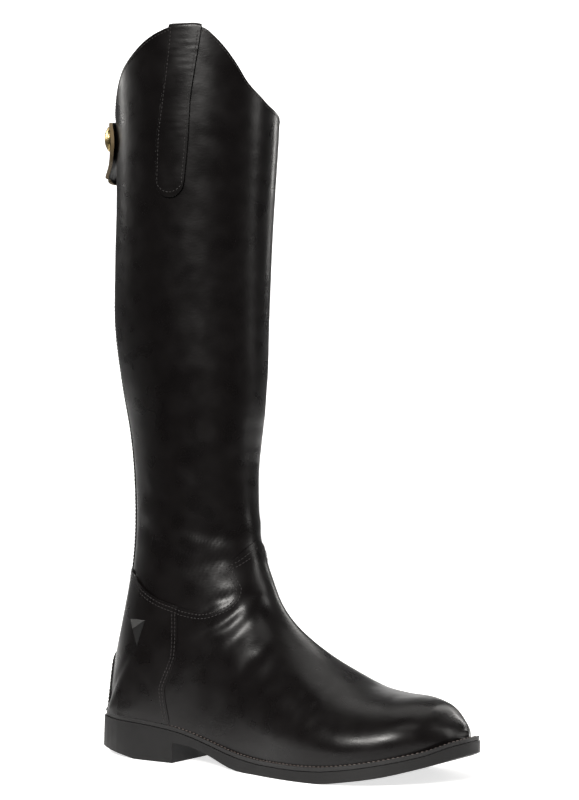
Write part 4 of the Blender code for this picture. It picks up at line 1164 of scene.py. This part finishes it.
# %% [markdown]
# ## Welt stitches
# A coarser row holds the upper to the welt and shows all round the foot. It follows the
# upper's outline in plan, moved out to the middle of the welt's ledge. Copying the side
# seams' method would fail here, since the ledge is seen from above.

# %% Welt stitches
def feather_outline(samples=6):
    """The upper's foot in plan, toe first and down the outer side."""
    last_foot = len(FOOT_SECTIONS) - 1
    columns = fan_columns(np.linspace(0, last_foot, last_foot * samples + 1))
    outer = [(row[0], row[2]) for row in columns]
    inner = [(row[0], row[3]) for row in columns[:-1]]
    return np.array(outer + inner[::-1])


def grown(outline, distance):
    """Move a plan outline outwards by a distance for each point."""
    tangent = np.roll(outline, -1, axis=0) - np.roll(outline, 1, axis=0)
    normal = unit(np.stack([tangent[:, 1], -tangent[:, 0]], axis=1))
    if ((outline - outline.mean(axis=0)) * normal).sum() < 0:
        normal = -normal
    return outline + normal * distance[:, None]


LEDGE_MIDDLE = 0.55
plan = feather_outline()
reach = smooth_table(SOLE_EXTENSION, (plan[:, 0] - HEEL_BACK_X) / LAST_LENGTH) * MM
welt_row = grown(plan, reach * LEDGE_MIDDLE)
welt_row = np.concatenate([welt_row, welt_row[:1]])
welt_points = np.stack([welt_row[:, 0], welt_row[:, 1],
                        feather_height(welt_row[:, 0]) - 0.28 * MM], 1)
welt_places = row_of(welt_points, np.tile((0.0, 0.0, 1.0), (len(welt_points), 1)), WELT_PITCH,
                     WELT_STITCH_SIZE)
# The light grey-brown of these thread beads is a painted highlight on black thread
welt_stitches = thread_beads("welt_stitches", welt_places, welt_thread_painted_highlight)
print("welt stitches:", len(welt_places))

# %% [markdown]
# ## Frame links
# Each piece rides on the root body, and the CAD solids that it stands for are hidden. The upper's
# solid is one wall; its panels stand for it together.

# %% Rides and replaced nodes
LINKS = [
    (shaft, ("upper",), "upper_leather"), (vamp, ("upper",), "upper_leather"),
    (counter, ("upper",), "upper_leather"), (lining, ("upper",), "upper_leather"),
    (stitches, (), "upper_leather"), (tape, ("zip_tape",), "zip_tape_cloth"),
    (coil, ("zip_coil",), "zip_nylon"), (facings[0], ("zip_facing_lateral",), "upper_leather"),
    (facings[1], ("zip_facing_medial",), "upper_leather"),
    (elastic, ("elastic_gusset",), "elastic_cloth"), (patch, ("heel_patch",), "upper_leather"),
    (studs[0], ("spur_rest_lateral",), "upper_leather"),
    (studs[1], ("spur_rest_medial",), "upper_leather"), (sole, ("outsole",), "sole_rubber"),
    (welt, ("welt",), "welt_leather"), (insole, ("insole",), "insole_leather"),
    (flap, ("closure_flap",), "upper_leather"), (snap, ("snap_cap",), "snap_brass"),
    (strap, ("pull_strap",), "upper_leather"), (welt_stitches, (), "welt_leather"),
]
for piece, nodes, slot_name in LINKS:
    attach(piece, "root")
    if nodes:
        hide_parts(*nodes)
print("pieces:", len(LINKS))

# %% [markdown]
# ## Studio
# A pale floor that curves up behind, soft boxes on both sides and the camera low at the
# photo's angle. Bare lamps would give hard dots on polished leather, so every light is a
# wide panel. The large one in front gives the highlight on the toe, and the tall one behind
# draws the edge of the shaft.

# %% Floor and backdrop
# A pale sheet on a light table, which glows a little from below
backdrop_finish = finish_of("pale light table sheet", "#f4f4f4", "#f8f8f8", 0.9, 0.02, 3.0, 0.0)
glow = backdrop_finish.node_tree.nodes["Principled BSDF"]
glow.inputs["Emission Color"].default_value = (1.0, 1.0, 1.0, 1.0)
glow.inputs["Emission Strength"].default_value = 0.70
STUDIO_TURN = math.radians(33)
PAPER_WIDTH, PAPER_FRONT, PAPER_BACK, PAPER_RISE = 2.4, 0.27, 6.2, 3.2
paper = bmesh.new()
bmesh.ops.create_grid(paper, x_segments=1, y_segments=2, size=0.5)
bmesh.ops.scale(paper, verts=paper.verts, vec=(PAPER_WIDTH, 1.0, 1.0))
rows = sorted({round(vert.co.y, 4) for vert in paper.verts})
front, middle, back = [[vert for vert in paper.verts if round(vert.co.y, 4) == row]
                       for row in rows]
bmesh.ops.translate(paper, verts=front, vec=(0, 0.5 - PAPER_FRONT, 0))
bmesh.ops.translate(paper, verts=middle, vec=(0, PAPER_BACK, 0))
bmesh.ops.translate(paper, verts=back, vec=(0, PAPER_BACK - 0.5, PAPER_RISE))
fold = [edge for edge in paper.edges if all(vert in middle for vert in edge.verts)]
bmesh.ops.bevel(paper, geom=fold, offset=1.2, segments=14, profile=0.5, affect="EDGES",
                material=-1)
bmesh.ops.rotate(paper, verts=paper.verts, matrix=Matrix.Rotation(STUDIO_TURN, 3, "Z"))
bmesh.ops.recalc_face_normals(paper, faces=paper.faces)
if max(paper.faces, key=lambda face: face.calc_area()).normal.z < -0.5:
    bmesh.ops.reverse_faces(paper, faces=paper.faces)
backdrop = object_of("studio_paper", paper, backdrop_finish)

# %% Black card
# It lies on the sheet outside the picture, so that the boot's dark side mirrors no white
CARD_SIZE, CARD_PLACE = (0.9, 0.95, 1.0), (-0.62, -0.12, 0.0005)
card_mesh = bmesh.new()
bmesh.ops.create_grid(card_mesh, x_segments=1, y_segments=1, size=0.5)
bmesh.ops.scale(card_mesh, verts=card_mesh.verts, vec=CARD_SIZE)
bmesh.ops.translate(card_mesh, verts=card_mesh.verts, vec=CARD_PLACE)
bmesh.ops.rotate(card_mesh, verts=card_mesh.verts, matrix=Matrix.Rotation(STUDIO_TURN, 3, "Z"))
card_finish = finish_of("matt black card", "#060606", "#0b0b0b", 0.9, 0.02, 2.0, 0.01)
card = object_of("studio_card", card_mesh, card_finish)

# %% Lights
AIM, TO_CAMERA = Vector((0.06, 0.0, 0.22)), Vector((0.547, -0.837, 0.0))


def soft_box(name, turn, distance, height, size, power):
    """A panel light at a turn round the boot. Turn 0 is at the camera, positive to its right."""
    direction = Matrix.Rotation(math.radians(turn), 3, "Z") @ TO_CAMERA
    lamp = bpy.data.lights.new(name, "AREA")
    lamp.shape = "RECTANGLE"
    lamp.size, lamp.size_y = size
    lamp.energy = power
    lamp.color = (1.0, 0.98, 0.95)
    made = bpy.data.objects.new(name, lamp)
    made.location = AIM + direction * distance + Vector((0, 0, height - AIM.z))
    made.rotation_euler = (AIM - made.location).to_track_quat("-Z", "Y").to_euler()
    bpy.context.collection.objects.link(made)
    return made


soft_box("strip_behind_left", -126, 1.3, 0.95, (0.22, 0.9), 8)
soft_box("key_front_left", -20, 2.2, 1.36, (0.95, 0.42), 62)
soft_box("side_right", 77, 1.6, 0.85, (0.35, 0.9), 6)
soft_box("rim_right", 140, 1.5, 0.90, (0.2, 1.1), 5)
soft_box("top", 12, 1.0, 1.7, (0.7, 0.5), 2.0)
DOWN = Matrix.Rotation(STUDIO_TURN, 4, "Z")
wash = soft_box("paper_wash", 180, 1.0, 2.3, (2.4, 1.6), 14)
wash.rotation_euler = DOWN.to_euler()
far_wash = soft_box("backdrop_wash", 180, 4.4, 3.0, (2.4, 1.6), 50)
far_wash.rotation_euler = (DOWN @ Matrix.Rotation(math.radians(40), 4, "X")).to_euler()
world = bpy.data.worlds.new("studio air")
world.use_nodes = True
world.node_tree.nodes["Background"].inputs["Color"].default_value = (1.0, 1.0, 1.0, 1.0)
world.node_tree.nodes["Background"].inputs["Strength"].default_value = 0.09
bpy.context.scene.world = world
bpy.context.scene.view_settings.view_transform = "Standard"

# %% Camera
CAMERA_PLACE, CAMERA_TILT, FOCAL_LENGTH = (0.9612, -1.3171, 0.246), math.radians(0.5), 153.9
lens = bpy.data.cameras.new("camera")
lens.sensor_fit = "HORIZONTAL"
lens.sensor_width = 36.0
lens.lens = FOCAL_LENGTH
camera = bpy.data.objects.new("camera", lens)
camera.location = CAMERA_PLACE
look = Vector((-0.546, 0.838, -math.tan(CAMERA_TILT)))
camera.rotation_euler = look.to_track_quat("-Z", "Y").to_euler()
bpy.context.collection.objects.link(camera)
bpy.context.scene.camera = camera

# %% Update the scene
bpy.context.view_layer.update()
